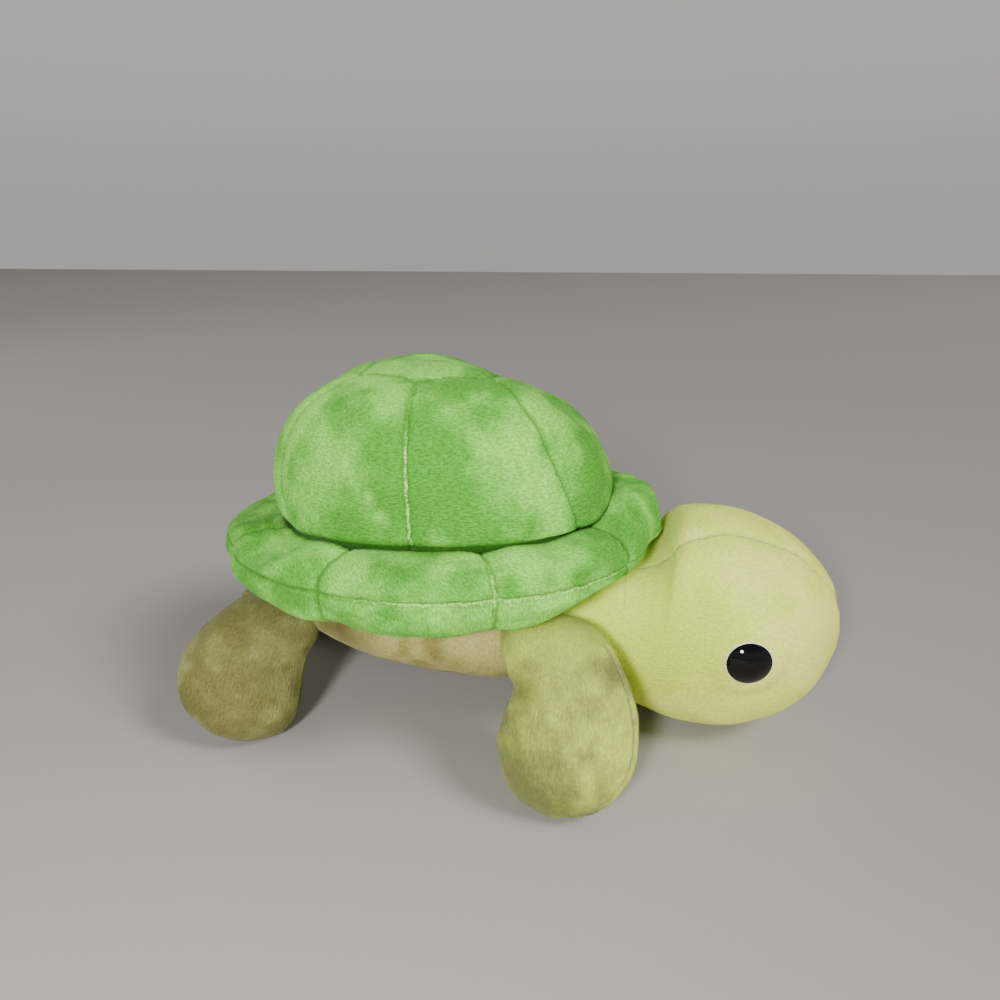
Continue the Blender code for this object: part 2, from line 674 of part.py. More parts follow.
def from_floor(root):
    """A root's place with its height taken from the floor."""
    return Vector((root.x, root.y, root.z + SHELL_HEIGHT))


def mirrored(place, side):
    """A place on one side of the turtle: the right side is towards -Y."""
    sign = -1 if side == "right" else 1
    return Vector((place.x, place.y * sign, place.z))


def main():
    clear_scene()
    green = make_material("green_minky", GREEN, 0.9)
    pale = make_material("pale_minky", PALE, 0.9)
    belly = make_material("belly_minky", BELLY, 0.9)
    white = make_material("white_plastic", WHITE, 0.4)
    black = make_material("black_plastic", BLACK, 0.08)
    fibre = make_material("fibre_filling", FIBRE, 1.0)

    nose_reach = HEAD_AHEAD + HEAD_HALF_LENGTH
    turtle = add_frame("turtle_frame", ((hind_reach() - nose_reach) / 2, 0, 0))
    rim_cutter, above_base, inside_rim, rim_room = make_shell(turtle, green, fibre)
    armholes = []
    for side in ("right", "left"):
        turn = -1 if side == "right" else 1
        armholes.append(make_leg(turtle, "front_leg_" + side, mirrored(from_floor(FRONT_ROOT), side),
                                 mirrored(FRONT_FOOT, side), turn * FRONT_YAW, FRONT_ROOT_RADIUS,
                                 FRONT_TIP_WIDTH, FRONT_TIP_DEPTH, pale, fibre))
        armholes.append(make_leg(turtle, "hind_leg_" + side, mirrored(from_floor(HIND_ROOT), side),
                                 mirrored(HIND_FOOT, side), turn * HIND_YAW, HIND_ROOT_RADIUS,
                                 HIND_TIP_WIDTH, HIND_TIP_DEPTH, pale, fibre))
    armholes.append(make_tail(turtle, pale, fibre))
    armholes.append(make_head(turtle, pale, fibre, white, black, rim_room))
    make_body(turtle, belly, fibre, [inside_rim, rim_cutter] + armholes, [above_base, rim_cutter] + armholes)


main()
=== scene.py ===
"""A stuffed turtle, sewn from short-pile plush and filled with fibre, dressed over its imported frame."""
import math

import bmesh
import bpy
import numpy as np
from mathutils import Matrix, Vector


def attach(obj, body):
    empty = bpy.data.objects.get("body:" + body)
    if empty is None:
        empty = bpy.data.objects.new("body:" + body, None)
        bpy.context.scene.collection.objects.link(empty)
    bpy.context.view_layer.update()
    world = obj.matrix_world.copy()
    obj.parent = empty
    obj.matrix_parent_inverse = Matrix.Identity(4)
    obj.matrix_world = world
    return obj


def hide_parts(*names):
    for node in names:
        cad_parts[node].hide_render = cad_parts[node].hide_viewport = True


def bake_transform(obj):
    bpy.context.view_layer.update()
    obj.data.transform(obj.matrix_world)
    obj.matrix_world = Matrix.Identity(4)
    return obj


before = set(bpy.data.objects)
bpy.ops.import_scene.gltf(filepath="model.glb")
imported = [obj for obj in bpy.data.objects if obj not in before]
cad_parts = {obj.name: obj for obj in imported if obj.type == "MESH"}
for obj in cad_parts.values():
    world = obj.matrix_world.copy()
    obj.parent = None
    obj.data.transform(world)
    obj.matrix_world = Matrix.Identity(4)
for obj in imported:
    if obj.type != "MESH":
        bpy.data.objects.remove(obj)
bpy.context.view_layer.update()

# Dome of the shell. Six green plush gores rise from the rim to a six-sided crown, sewn edge to edge and stuffed
# hard, so that each panel swells between its seams. The cloth is worked out as a grid, then blown up as cloth.
shell_middle = np.array([-0.039826, 0.0, 0.098])
shell_tilt = math.radians(2.2)
shell_turn = np.array([[math.cos(shell_tilt), 0, -math.sin(shell_tilt)], [0, 1, 0],
                       [math.sin(shell_tilt), 0, math.cos(shell_tilt)]])
rim_line_ahead, rim_line_aside = 0.0895, 0.0715
rim_across, rim_roundness = 0.0205, 2.2
# every 30 degrees from straight ahead: how high the rim stands over its edge, and how deep it hangs under it
rim_up = np.array([0.0222, 0.0195, 0.0170, 0.0140, 0.0122, 0.0102, 0.0098, 0.0120, 0.0146, 0.0152, 0.0152, 0.0146])
rim_down = np.array([0.0090, 0.0150, 0.0190, 0.0200, 0.0200, 0.0195, 0.0185, 0.0178, 0.0203, 0.0226, 0.0224, 0.0125])
crown_radius = 0.0355


def in_world(points):
    """Points of the shell's own frame, raised at the front by the shell's tilt, set on the shell's middle."""
    return points @ shell_turn.T + shell_middle


def rim_line(bearing):
    """How far the rim's middle line lies out from the shell's middle: an oval in plan, by its bearing, a little
    shorter at the back and where the neck presses on it."""
    pressed = (bearing + math.radians(12) + math.pi) % (2 * math.pi) - math.pi
    return (1 / np.hypot(np.cos(bearing) / rim_line_ahead, np.sin(bearing) / rim_line_aside)
            - 0.0016 * np.maximum(-np.cos(bearing), 0) ** 2 - 0.0028 * np.exp(-(pressed / math.radians(10)) ** 2))


def eased(bearing, values):
    """A value by its bearing, from a list of them at even steps all the way round, with smooth steps in between."""
    place = bearing % (2 * math.pi) / (2 * math.pi) * len(values)
    whole = np.floor(place).astype(int)
    part = place - whole
    part = part * part * (3 - 2 * part)
    return values[whole % len(values)] * (1 - part) + values[(whole + 1) % len(values)] * part


def rim_gap(distance, bearing, height):
    """About how far a point of the shell's frame lies outside the rim, from its squared section."""
    tall = np.where(height > 0, eased(bearing, rim_up), eased(bearing, rim_down))
    share = (np.abs((distance - rim_line(bearing)) / rim_across) ** rim_roundness
             + np.abs(height / tall) ** rim_roundness) ** (1 / rim_roundness)
    return (share - 1) * 0.016


def lumps(points, size, seed):
    """Soft noise from -1 to 1: each lattice cell's corners get a hashed value, mixed by smooth weights in between."""
    spot = points / size + 37.3 * seed
    cell = np.floor(spot).astype(np.int64)
    part = spot - cell
    part = part * part * (3 - 2 * part)
    total = np.zeros(points.shape[:-1])
    for corner in range(8):
        step = np.array([corner & 1, corner >> 1 & 1, corner >> 2 & 1])
        key = (cell + step) @ np.array([374761393, 668265263, 2147483647]) + seed * 97
        key = (key ^ (key >> 13)) * 1274126177 & 0xFFFFFFFF
        value = ((key ^ (key >> 16)) & 0xFFFF) / 32767.5 - 1
        total += value * np.prod(np.where(step == 1, part, 1 - part), axis=-1)
    return total


def along_lumps(run, aside, size, seed):
    """The same noise on a sheet, by the length along a seam and a share of the distance from it."""
    return lumps(np.stack([run, aside, 0 * run], -1), size, seed)


def between(grid, count, wraps):
    """The grid's first axis sampled at an even count of places by Catmull-Rom cubics, round a loop if it wraps."""
    size = len(grid)
    place = np.linspace(0, size, count, endpoint=False) if wraps else np.linspace(0, size - 1, count)
    whole = np.minimum(np.floor(place).astype(int), size - 1 if wraps else size - 2)
    t = (place - whole).reshape((-1,) + (1,) * (grid.ndim - 1))
    weights = (-t / 2 + t * t - t ** 3 / 2, 1 - 2.5 * t * t + 1.5 * t ** 3, t / 2 + 2 * t * t - 1.5 * t ** 3,
               (t ** 3 - t * t) / 2)
    total = 0
    for offset, weight in zip((-1, 0, 1, 2), weights):
        index = (whole + offset) % size if wraps else np.clip(whole + offset, 0, size - 1)
        total = total + weight * grid[index]
    return total


def finer(grid, rows, columns, wraps_rows=False):
    """A smooth grid through a coarse one, whose columns run round a loop."""
    tall = between(grid, rows, wraps_rows)
    return between(tall.swapaxes(0, 1), columns, True).swapaxes(0, 1)


def outward(grid, wraps_rows=False):
    """Unit normals of a grid from the cross product of its row and column differences, the same all over a pole."""
    along = np.roll(grid, -1, 1) - np.roll(grid, 1, 1)
    down = np.roll(grid, -1, 0) - np.roll(grid, 1, 0) if wraps_rows else np.gradient(grid, axis=0)
    normal = np.cross(down, along)
    if not wraps_rows:
        normal[0] = normal[1].mean(0)
        normal[-1] = normal[-2].mean(0)
    return normal / np.maximum(np.linalg.norm(normal, axis=-1, keepdims=True), 1e-12)


def grid_object(name, grid, wraps_rows=False, lay=None):
    """A closed mesh of quads on a grid whose columns run round a loop, and its rows too on a ring. Its pile's lay,
    in metres across and along the nap, is kept at each corner, so that it runs on without a smear where a loop
    closes."""
    rows, columns = grid.shape[:2]
    row = np.arange(rows if wraps_rows else rows - 1)[:, None] + 0 * np.arange(columns)[None, :]
    column = np.arange(columns)[None, :] + 0 * row
    corner_rows = np.stack([row, row + 1, row + 1, row], -1)
    corner_columns = np.stack([column, column, column + 1, column + 1], -1)
    quads = (corner_rows % rows) * columns + corner_columns % columns
    mesh = bpy.data.meshes.new(name)
    mesh.vertices.add(rows * columns)
    mesh.vertices.foreach_set("co", grid.reshape(-1).astype(np.float32))
    mesh.loops.add(quads.size)
    mesh.loops.foreach_set("vertex_index", quads.reshape(-1).astype(np.int32))
    mesh.polygons.add(quads.size // 4)
    mesh.polygons.foreach_set("loop_start", np.arange(0, quads.size, 4, dtype=np.int32))
    mesh.update(calc_edges=True)
    mesh.shade_smooth()
    if lay is not None:
        unwrapped = mesh.uv_layers.new(name="cloth")
        spread = np.stack([corner_columns / columns, corner_rows / (rows if wraps_rows else rows - 1)], -1)
        unwrapped.uv.foreach_set("vector", spread.reshape(-1).astype(np.float32))
        laid = mesh.attributes.new("lay", "FLOAT_VECTOR", "CORNER")
        flat = lay[corner_rows, corner_columns]
        laid.data.foreach_set("vector", np.concatenate([flat, 0 * flat[..., :1]], -1).reshape(-1).astype(np.float32))
    item = bpy.data.objects.new(name, mesh)
    bpy.context.scene.collection.objects.link(item)
    return item


def add_marks(item, **marks):
    """Values at each point of the mesh for the material to read: seam_a and seam_b are signed lengths to the nearest
    seam of two kinds, nothing at the seam itself; show and pale are the shares of groove and of bare thread there;
    the shade mark is the share of painted shade, darkening creases and where one part tucks under another; brushed is
    0 where the pile lies away and 1 where it lies towards the eye."""
    for name in ("seam_a", "seam_b", "show", "pale", "crease", "brushed"):
        layer = item.data.attributes.new(name, "FLOAT", "POINT")
        values = marks.get(name, 1.0 if name.startswith("seam") else 0.0) + np.zeros(marks["brushed"].shape)
        layer.data.foreach_set("value", values.reshape(-1).astype(np.float32))


def brushed(points, size, seed, places=()):
    """Where the pile has been brushed: folded soft noise about one half, and the broad places (x, y, z and radius in
    millimetres, and strength) made lighter or darker: where a hand has stroked the pile up or down, and on the front
    legs painted light and shade."""
    fold = np.stack([lumps(points, size * 1.4, seed + n) for n in (1, 2, 3)], -1) * size * 0.45
    share = (0.5 + 0.42 * lumps(points + fold, size, seed) + 0.32 * lumps(points + fold, size * 0.42, seed + 5)
             + 0.20 * lumps(points + fold * 0.5, size * 0.2, seed + 6))
    for x, y, z, radius, strength in places:
        far = np.linalg.norm(points + 0.25 * fold - np.array([x, y, z]) / 1000, axis=-1)
        near = np.exp(-(far * 1000 / radius) ** 2)
        share = share * (1 - 0.85 * near) + (0.5 + 0.5 * strength) * 0.85 * near
    return share


def merge_poles(item):
    """Joins the doubled points at the poles, where a whole row stands in one place."""
    bm = bmesh.new()
    bm.from_mesh(item.data)
    bmesh.ops.remove_doubles(bm, verts=bm.verts, dist=1e-6)
    bm.to_mesh(item.data)
    bm.free()


def stuffed(grid, held, pressure, cap, slack, wraps_rows=False):
    """The grid as cloth, blown up by its filling: held points stay, the others move by no more than the cap."""
    rows, columns = grid.shape[:2]
    form = grid_object("cloth_form", grid, wraps_rows)
    group = form.vertex_groups.new(name="held")
    strength = np.round(held, 1).reshape(-1)
    for weight in np.unique(strength):
        if weight > 0:
            group.add([int(i) for i in np.flatnonzero(strength == weight)], float(weight), "REPLACE")
    cloth = form.modifiers.new("cloth", "CLOTH")
    cloth.settings.quality = 6
    cloth.settings.mass = 0.2
    cloth.settings.tension_stiffness = 12
    cloth.settings.compression_stiffness = 12
    cloth.settings.shear_stiffness = 4
    cloth.settings.bending_stiffness = 0.3
    cloth.settings.shrink_min = -slack
    cloth.settings.use_pressure = True
    cloth.settings.uniform_pressure_force = pressure
    cloth.settings.vertex_group_mass = "held"
    cloth.settings.effector_weights.gravity = 0
    cloth.point_cache.frame_start = 1
    cloth.point_cache.frame_end = 20
    for number in range(1, 21):
        bpy.context.scene.frame_set(number)
    seen = form.evaluated_get(bpy.context.evaluated_depsgraph_get())
    moved = np.empty(rows * columns * 3, np.float32)
    seen.data.vertices.foreach_get("co", moved)
    bpy.data.objects.remove(form, do_unlink=True)
    bpy.context.scene.frame_set(1)
    shift = moved.reshape(grid.shape).astype(float) - grid
    for _ in range(2):
        shift = (np.roll(shift, 1, 1) + 2 * shift + np.roll(shift, -1, 1)) / 4
    length = np.linalg.norm(shift, axis=-1, keepdims=True)
    return grid + shift * np.minimum(1, cap / np.maximum(length, 1e-9))


def dome_surface(azimuth, polar):
    """A direction from azimuth and polar angle, drawn out to a squared dome: fuller on its near side than on its far
    side, sagging between the crown and the head on the far side, leaning back at the top, and nearly upright where
    it presses into the rim."""
    east, north, up = np.sin(polar) * np.cos(azimuth), np.sin(polar) * np.sin(azimuth), np.cos(polar)
    near, far = np.maximum(-np.sin(azimuth), 0), np.maximum(np.sin(azimuth), 0)
    ahead = np.maximum(np.cos(azimuth), 0)
    square = np.where(up > 0, 2.04 + 0.90 * near ** 2 + 0.46 * far ** 2, 2.7 + 1.6 * ahead)
    scale = (np.hypot(east, north) ** square + np.abs(up) ** square) ** (-1 / square)
    plan = 2 + 0.85 * np.sqrt(near * ahead)
    scale_out = scale * (np.abs(np.cos(azimuth)) ** plan + np.abs(np.sin(azimuth)) ** plan) ** (-1 / plan)
    level = np.maximum(up * scale, 0)
    flat = 1 - 0.09 * level * (1 + np.cos(6 * azimuth)) / 2
    turn = (azimuth - math.radians(35) + math.pi) % (2 * math.pi) - math.pi
    sag = 1 - 0.085 * np.exp(-(turn / math.radians(24)) ** 2 - ((polar - math.radians(35)) / math.radians(18)) ** 2)
    height = 0.0230 + up * scale * sag * np.where(up > 0, 0.0602, 0.0270)
    x = east * scale_out * flat * sag * 0.0845 - 0.0095 * level ** 2 + 0.0012
    y = north * scale_out * flat * sag * 0.0708
    across, bearing = np.hypot(x, y), np.arctan2(y, x)
    held_in = np.minimum(across, rim_line(bearing) - 0.0012 + 1.5 * np.maximum(height - 0.011, 0))
    return np.stack([held_in * np.cos(bearing), held_in * np.sin(bearing), height], -1)


def seam_plan(points):
    """The plan of the dome's points, turned a little where the front near seam bows towards the middle."""
    x, y, z = points[..., 0] + 0.0002, points[..., 1], points[..., 2]
    bearing = np.arctan2(y, x)
    bow = (0.55 + 0.75 * np.sin(math.pi * np.clip((z - 0.020) / 0.064, 0, 1))) * np.clip((0.082 - z) / 0.014, 0, 1)
    bearing = bearing + math.radians(8.5) * bow * np.exp(-((bearing + math.radians(34)) / math.radians(24)) ** 2)
    return np.hypot(x, y) * np.cos(bearing), np.hypot(x, y) * np.sin(bearing)


def dome_seams(points):
    """Distances from the dome's points to its seams: to the six upright planes outside the crown, and to the crown's
    six sides, from the plan of the points; and the length along the nearest one."""
    x, y = seam_plan(points)
    gap = np.full(x.shape, 1.0)
    run = np.zeros(x.shape)
    crown = np.full(x.shape, -1.0)
    for number in range(6):
        angle = math.radians(-90 + 60 * number)
        ahead = x * math.cos(angle) + y * math.sin(angle)
        aside = -x * math.sin(angle) + y * math.cos(angle)
        distance = np.where(ahead > crown_radius, np.abs(aside), np.hypot(aside, ahead - crown_radius))
        run = np.where(distance < gap, points[..., 2] * 1.2 + 0.3 * number, run)
        gap = np.minimum(gap, distance)
        side = angle + math.radians(30)
        out = x * math.cos(side) + y * math.sin(side) - crown_radius * math.cos(math.radians(30))
        beside = -x * math.sin(side) + y * math.cos(side)
        crown = np.maximum(crown, out)
        distance = np.hypot(out, np.maximum(np.abs(beside) - crown_radius / 2, 0))
        run = np.where(distance < gap, beside + 0.3 * number + 3, run)
        gap = np.minimum(gap, distance)
    return gap, run, crown


def folded(points, folds):
    """How deep soft folds sink the cloth: each fold is a straight dent from one place to another (millimetres), deepest
    in its middle, with its own width and depth."""
    sunk = np.zeros(points.shape[:-1])
    for start, stop, wide, deep in folds:
        start, stop = np.array(start) / 1000, np.array(stop) / 1000
        share = np.clip((points - start) @ (stop - start) / ((stop - start) @ (stop - start)), 0, 1)
        far = np.linalg.norm(points - start - share[..., None] * (stop - start), axis=-1)
        sunk = sunk + deep / 1000 * np.exp(-(far * 1000 / wide) ** 2) * (0.35 + 0.65 * np.sin(math.pi * share))
    return sunk


def even_lay(down, turn, columns):
    """The pile's lay on a grid: even lengths round a turn of so many metres, and the given lengths down the rows."""
    across = np.linspace(0, turn, columns + 1)[None, :]
    return np.stack([across + 0 * down, down + 0 * across], -1)


seam_start = math.radians(-90)
dome_azimuth = seam_start + np.linspace(0, 2 * math.pi, 120, endpoint=False)[None, :]
dome_polar = np.linspace(0, math.pi, 60)[:, None]
coarse = dome_surface(dome_azimuth, dome_polar)
gap, _, _ = dome_seams(coarse)
held = np.clip(1 - (gap - 0.001) / 0.006, 0, 1)
held[coarse[..., 2] < 0.0145] = 1
puffed = stuffed(coarse - outward(coarse) * 0.0013, held, 6.0, 0.0038, 0.03)
fine = finer(puffed, 200, 498)
gap, run, crown = dome_seams(fine)
normal = outward(fine)
pucker = along_lumps(run, gap * 0.3, 0.009, 3) * np.exp(-gap / 0.006)
fine = fine + normal * (-0.0012 * np.exp(-gap / 0.0012) - 0.0008 * np.exp(-(gap / 0.005) ** 2) + 0.0007 * pucker
                        + 0.0009 * lumps(fine, 0.035, 1) + 0.00045 * lumps(fine, 0.013, 2)
                        + 0.00012 * lumps(fine, 0.0022, 20)
                        - folded(in_world(fine), [((-70, -62, 153), (-50, -70, 119), 4.0, 1.5),
                                                  ((-82, -44, 168), (-70, -60, 148), 4.5, 1.2),
                                                  ((-93, -55, 130), (-70, -67, 116), 4.5, 1.1),
                                                  ((-92, -44, 156), (-90, -54, 132), 4.5, 0.9),
                                                  ((18, -49, 154), (32, -47, 126), 5.0, 1.1),
                                                  ((-12, -68, 140), (4, -66, 118), 5.0, 0.9),
                                                  ((-10, 66, 146), (-24, 70, 120), 5.0, 1.2),
                                                  ((-66, 60, 152), (-80, 63, 122), 5.0, 1.1)]))[..., None]
lay_down = np.cumsum(np.linalg.norm(np.diff(fine, axis=0, prepend=fine[:1]), axis=-1).mean(1))[:, None]
lay = even_lay(lay_down, 2 * math.pi * 0.075, 498)[..., ::-1]
closed = np.concatenate([fine, fine[:, :1]], 1)
on_crown = np.concatenate([crown, crown[:, :1]], 1) < 0
lay = np.where(on_crown[..., None], closed[..., :2][..., ::-1], lay)
dome = grid_object("dome", in_world(fine), False, lay)
x, y = seam_plan(fine)
gore_line = np.where(crown < 0, 1.0, np.sin(3 * (np.arctan2(y, x) + math.radians(90))) / 3 * np.hypot(x, y))
stroked = [(-82, -57, 152, 13, 0.5), (-83, -61, 132, 14, 0.45), (-79, -44, 169, 10, -0.8), (-62, -55, 167, 10, -0.9),
           (-55, -65, 153, 11, -0.9), (-55, -69, 138, 9, -0.7), (-68, -66, 118, 9, -0.8), (-71, -66, 133, 6, -0.5),
           (-67, -64, 152, 5, 0.9), (-63, -66, 142, 5, 0.9), (-59, -68, 133, 4, 0.8), (-54, -69, 124, 4, 0.7),
           (-49, -52, 171, 10, 0.7), (-33, -54, 169, 10, -0.5),
           (-24, -55, 168, 9, 0.2), (-8, -52, 167, 10, -0.7), (-32, -66, 154, 13, -0.9), (-30, -70, 139, 13, -1.0),
           (-20, -70, 128, 12, -1.0), (3, -59, 154, 14, 0.9), (14, -61, 135, 14, 0.9), (-5, -67, 135, 9, 0.3),
           (14, -35, 164, 14, 0.6), (18, -50, 152, 7, -0.5), (27, -48, 143, 8, -0.3), (33, -46, 129, 10, -0.7),
           (9, -64, 121, 9, -0.7)]
# Painted shade where the dome tucks into the rim.
to_rim = rim_gap(np.hypot(fine[..., 0], fine[..., 1]), np.arctan2(fine[..., 1], fine[..., 0]), fine[..., 2])
add_marks(dome, seam_a=gore_line, seam_b=crown, show=1.0,
          pale=0.12 + 0.88 * np.clip((0.066 - fine[..., 2]) / 0.012, 0, 1) * (y < 0) * (np.abs(x) < 0.02),
          crease=np.exp(-np.maximum(to_rim, 0) / 0.0013), brushed=brushed(in_world(fine), 0.026, 41, stroked))
wall_row = fine[np.argmin(np.abs(fine[..., 2].mean(1) - 0.0125))]
wall_bearing, wall_distance = np.arctan2(wall_row[:, 1], wall_row[:, 0]), np.hypot(wall_row[:, 0], wall_row[:, 1])
merge_poles(dome)


def wire(tree, source, out, target, into):
    """A link from one node's output to another node's input."""
    tree.links.new(source.outputs[out], target.inputs[into])


def add_node(tree, kind, inputs=None, **values):
    """A node of a kind, set out in rows of six, with its plain properties; each input is a value, or a link from
    another node's output."""
    item = tree.nodes.new(kind if kind.startswith("NodeGroup") else "ShaderNode" + kind)
    item.location = (240 * (len(tree.nodes) % 6), -300 * (len(tree.nodes) // 6))
    for name, value in values.items():
        setattr(item, name, value)
    for socket, value in (inputs or {}).items():
        if isinstance(value, tuple) and isinstance(value[0], bpy.types.Node):
            wire(tree, *value, item, socket)
        else:
            item.inputs[socket].default_value = value
    return item


def make_pile_group():
    """Short pile. Row: the nap's strokes, stretched along its lay, with single tufts among them. Fleck: soft breaks
    a few millimetres wide for the edges of brushed patches. Height: strokes and tufts over the flecks."""
    group = bpy.data.node_groups.new("short_pile", "ShaderNodeTree")
    for name in ("Vector", "Lay"):
        group.interface.new_socket(name=name, in_out="INPUT", socket_type="NodeSocketVector")
    for name in ("Row", "Fleck", "Height"):
        group.interface.new_socket(name=name, in_out="OUTPUT", socket_type="NodeSocketFloat")
    start = add_node(group, "NodeGroupInput")
    end = add_node(group, "NodeGroupOutput")
    fleck = add_node(group, "TexNoise", {"Scale": 140.0, "Detail": 3.0, "Roughness": 0.6, "Vector": (start, "Vector")})
    wander = add_node(group, "TexNoise", {"Scale": 110.0, "Detail": 1.0, "Vector": (start, "Vector")})
    swing = add_node(group, "VectorMath", {1: (0.0022, 0.0022, 0.0), 0: (wander, "Color"),
                      2: (start, "Lay")}, operation="MULTIPLY_ADD")
    stretch = add_node(group, "VectorMath", {1: (1150.0, 420.0, 0.0), 0: (swing, "Vector")}, operation="MULTIPLY")
    stroke = add_node(group, "TexNoise", {"Scale": 1.0, "Detail": 1.5, "Roughness": 0.6,
                       "Vector": (stretch, "Vector")}, noise_dimensions="2D")
    tuft = add_node(group, "TexNoise", {"Scale": 950.0, "Detail": 2.0, "Roughness": 0.65, "Vector": (start, "Vector")})
    joined = add_node(group, "Mix", {"Factor": 0.5, "A": (stroke, "Fac"), "B": (tuft, "Fac")}, data_type="FLOAT")
    sharp = add_node(group, "MapRange", {"From Min": 0.38, "From Max": 0.62, "Value": (joined, "Result")})
    lift = add_node(group, "Math", {1: 1.2, 0: (fleck, "Fac"), 2: (sharp, "Result")}, operation="MULTIPLY_ADD")
    wire(group, fleck, "Fac", end, "Fleck")
    wire(group, sharp, "Result", end, "Row")
    wire(group, lift, "Value", end, "Height")
    return group


def make_seam_group():
    """Sewn seams from two signed lengths: Groove falls off within a millimetre and a half of the nearer seam, and
    Thread is a hair line along it, uneven where tufts cover it."""
    group = bpy.data.node_groups.new("sewn_seam", "ShaderNodeTree")
    for name, kind in (("A", "Float"), ("B", "Float"), ("Show", "Float"), ("Pale", "Float"), ("Vector", "Vector")):
        group.interface.new_socket(name=name, in_out="INPUT", socket_type="NodeSocket" + kind)
    for name in ("Groove", "Thread"):
        group.interface.new_socket(name=name, in_out="OUTPUT", socket_type="NodeSocketFloat")
    start = add_node(group, "NodeGroupInput")
    end = add_node(group, "NodeGroupOutput")
    wiggle = add_node(group, "TexNoise", {"Scale": 330.0, "Detail": 1.0, "Vector": (start, "Vector")})
    both_ways = add_node(group, "Math", {1: 0.5, 0: (wiggle, "Fac")}, operation="SUBTRACT")
    near = add_node(group, "Math", operation="MINIMUM")
    for number, name in enumerate(("A", "B")):
        shifted = add_node(group, "Math", {1: 0.0022, 0: (both_ways, 0), 2: (start, name)}, operation="MULTIPLY_ADD")
        length = add_node(group, "Math", {0: (shifted, 0)}, operation="ABSOLUTE")
        wire(group, length, 0, near, number)
    tufts = add_node(group, "TexNoise", {"Scale": 900.0, "Vector": (start, "Vector")})
    gaps = add_node(group, "MapRange", {"From Min": 0.42, "From Max": 0.54, "To Min": 0.22, "Value": (tufts, "Fac")})
    uneven = add_node(group, "Math", {0: (gaps, "Result"), 1: (start, "Pale")}, operation="MULTIPLY")
    shaky = add_node(group, "TexNoise", {"Scale": 420.0, "Detail": 2.0, "Vector": (start, "Vector")})
    bent = add_node(group, "Math", {1: 0.0009, 0: (shaky, "Fac"), 2: (near, 0)}, operation="MULTIPLY_ADD")
    for name, share, low, high in (("Groove", (start, "Show"), 0.0005, 0.0025),
                                   ("Thread", (uneven, 0), 0.0007, 0.0014)):
        fall = add_node(group, "MapRange", {"From Min": low, "From Max": high, "To Min": 1.0, "To Max": 0.0,
                         "Value": (bent, 0)}, interpolation_type="SMOOTHSTEP")
        mask = add_node(group, "Math", {0: (fall, "Result"), 1: share}, operation="MULTIPLY")
        wire(group, mask, 0, end, name)
    return group


short_pile = make_pile_group()
sewn_seam = make_seam_group()


def plush(name, dark, light, sheen_colour, thread_colour, contrast=0.20):
    """Plush cloth: dark where the pile lies away and light where it lies towards the eye, with the nap's strokes on
    top, painted shade in the seams' grooves, in creases and where parts tuck under one another, and pale where the
    seam's thread and backing show between the tufts."""
    material = bpy.data.materials.new(name)
    material.use_nodes = True
    tree = material.node_tree
    shader = tree.nodes["Principled BSDF"]
    place = add_node(tree, "TexCoord")
    read = {}
    for mark in ("lay", "seam_a", "seam_b", "show", "pale", "crease", "brushed"):
        read[mark] = add_node(tree, "Attribute", attribute_name=mark)
    pile = add_node(tree, "Group", {"Vector": (place, "Object"), "Lay": (read["lay"], "Vector")}, node_tree=short_pile)
    seam = add_node(tree, "Group", {"Vector": (place, "Object"), "A": (read["seam_a"], "Fac"),
                                    "B": (read["seam_b"], "Fac"), "Show": (read["show"], "Fac"),
                                    "Pale": (read["pale"], "Fac")}, node_tree=sewn_seam)
    broken = add_node(tree, "Math", {1: 0.55, 0: (pile, "Fleck"),
                       2: (read["brushed"], "Fac")}, operation="MULTIPLY_ADD")
    soft = add_node(tree, "MapRange", {"From Min": 0.42, "From Max": 1.16,
                     "Value": (broken, 0)}, interpolation_type="SMOOTHSTEP")
    patches = add_node(tree, "Mix", {"A": (*dark, 1), "B": (*light, 1), "Factor": (soft, "Result")}, data_type="RGBA")
    tone = add_node(tree, "MapRange", {"To Min": 1 - contrast, "To Max": 1 + contrast, "Value": (pile, "Row")})
    last = add_node(tree, "Mix", {"Factor": 1.0, "A": (patches, "Result"),
                     "B": (tone, "Result")}, data_type="RGBA", blend_type="MULTIPLY")
    # Painted shade: the seams' grooves and the shade mark mix darker copies of the dark colour into the cloth; the
    # thread mixes in its own pale colour.
    for source, share, colour in (((seam, "Groove"), 0.55, tuple(c * 0.40 for c in dark)),
                                  ((seam, "Thread"), 1.0, thread_colour),
                                  ((read["crease"], "Fac"), 0.9, tuple(c * 0.16 for c in dark))):
        amount = add_node(tree, "Math", {0: source, 1: share}, operation="MULTIPLY", use_clamp=True)
        last = add_node(tree, "Mix", {"B": (*colour, 1), "Factor": (amount, "Value"), "A": (last, "Result")},
                        data_type="RGBA")
    wire(tree, last, "Result", shader, "Base Color")
    sunk = add_node(tree, "Math", {1: -2.2, 0: (seam, "Groove"), 2: (pile, "Height")}, operation="MULTIPLY_ADD")
    relief = add_node(tree, "Bump", {"Strength": 0.55, "Distance": 0.0005, "Height": (sunk, 0)})
    wire(tree, relief, "Normal", shader, "Normal")
    rough = add_node(tree, "MapRange", {"To Min": 0.80, "To Max": 0.94, "Value": (pile, "Fleck")})
    wire(tree, rough, "Result", shader, "Roughness")
    shader.inputs["Specular IOR Level"].default_value = 0.08
    shader.inputs["Sheen Weight"].default_value = 0.14
    shader.inputs["Sheen Roughness"].default_value = 0.35
    shader.inputs["Sheen Tint"].default_value = (*sheen_colour, 1)
    return material


green_plush = plush("green_plush", (0.093, 0.385, 0.034), (0.272, 0.730, 0.090), (0.45, 0.95, 0.35),
                    (0.46, 0.98, 0.17), 0.26)
dome.data.materials.append(green_plush)
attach(dome, "shell_and_body")
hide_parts("dome_filling", "dome_top_panel", *["dome_side_panel_%d" % n for n in range(1, 7)])

# Rim of the shell. A puffy green ring of eight lengths, each an upper and a lower panel joined by the edge seam
# round the outside, stuffed so that it swells between its cross seams. It is sewn to the dome and to the body.


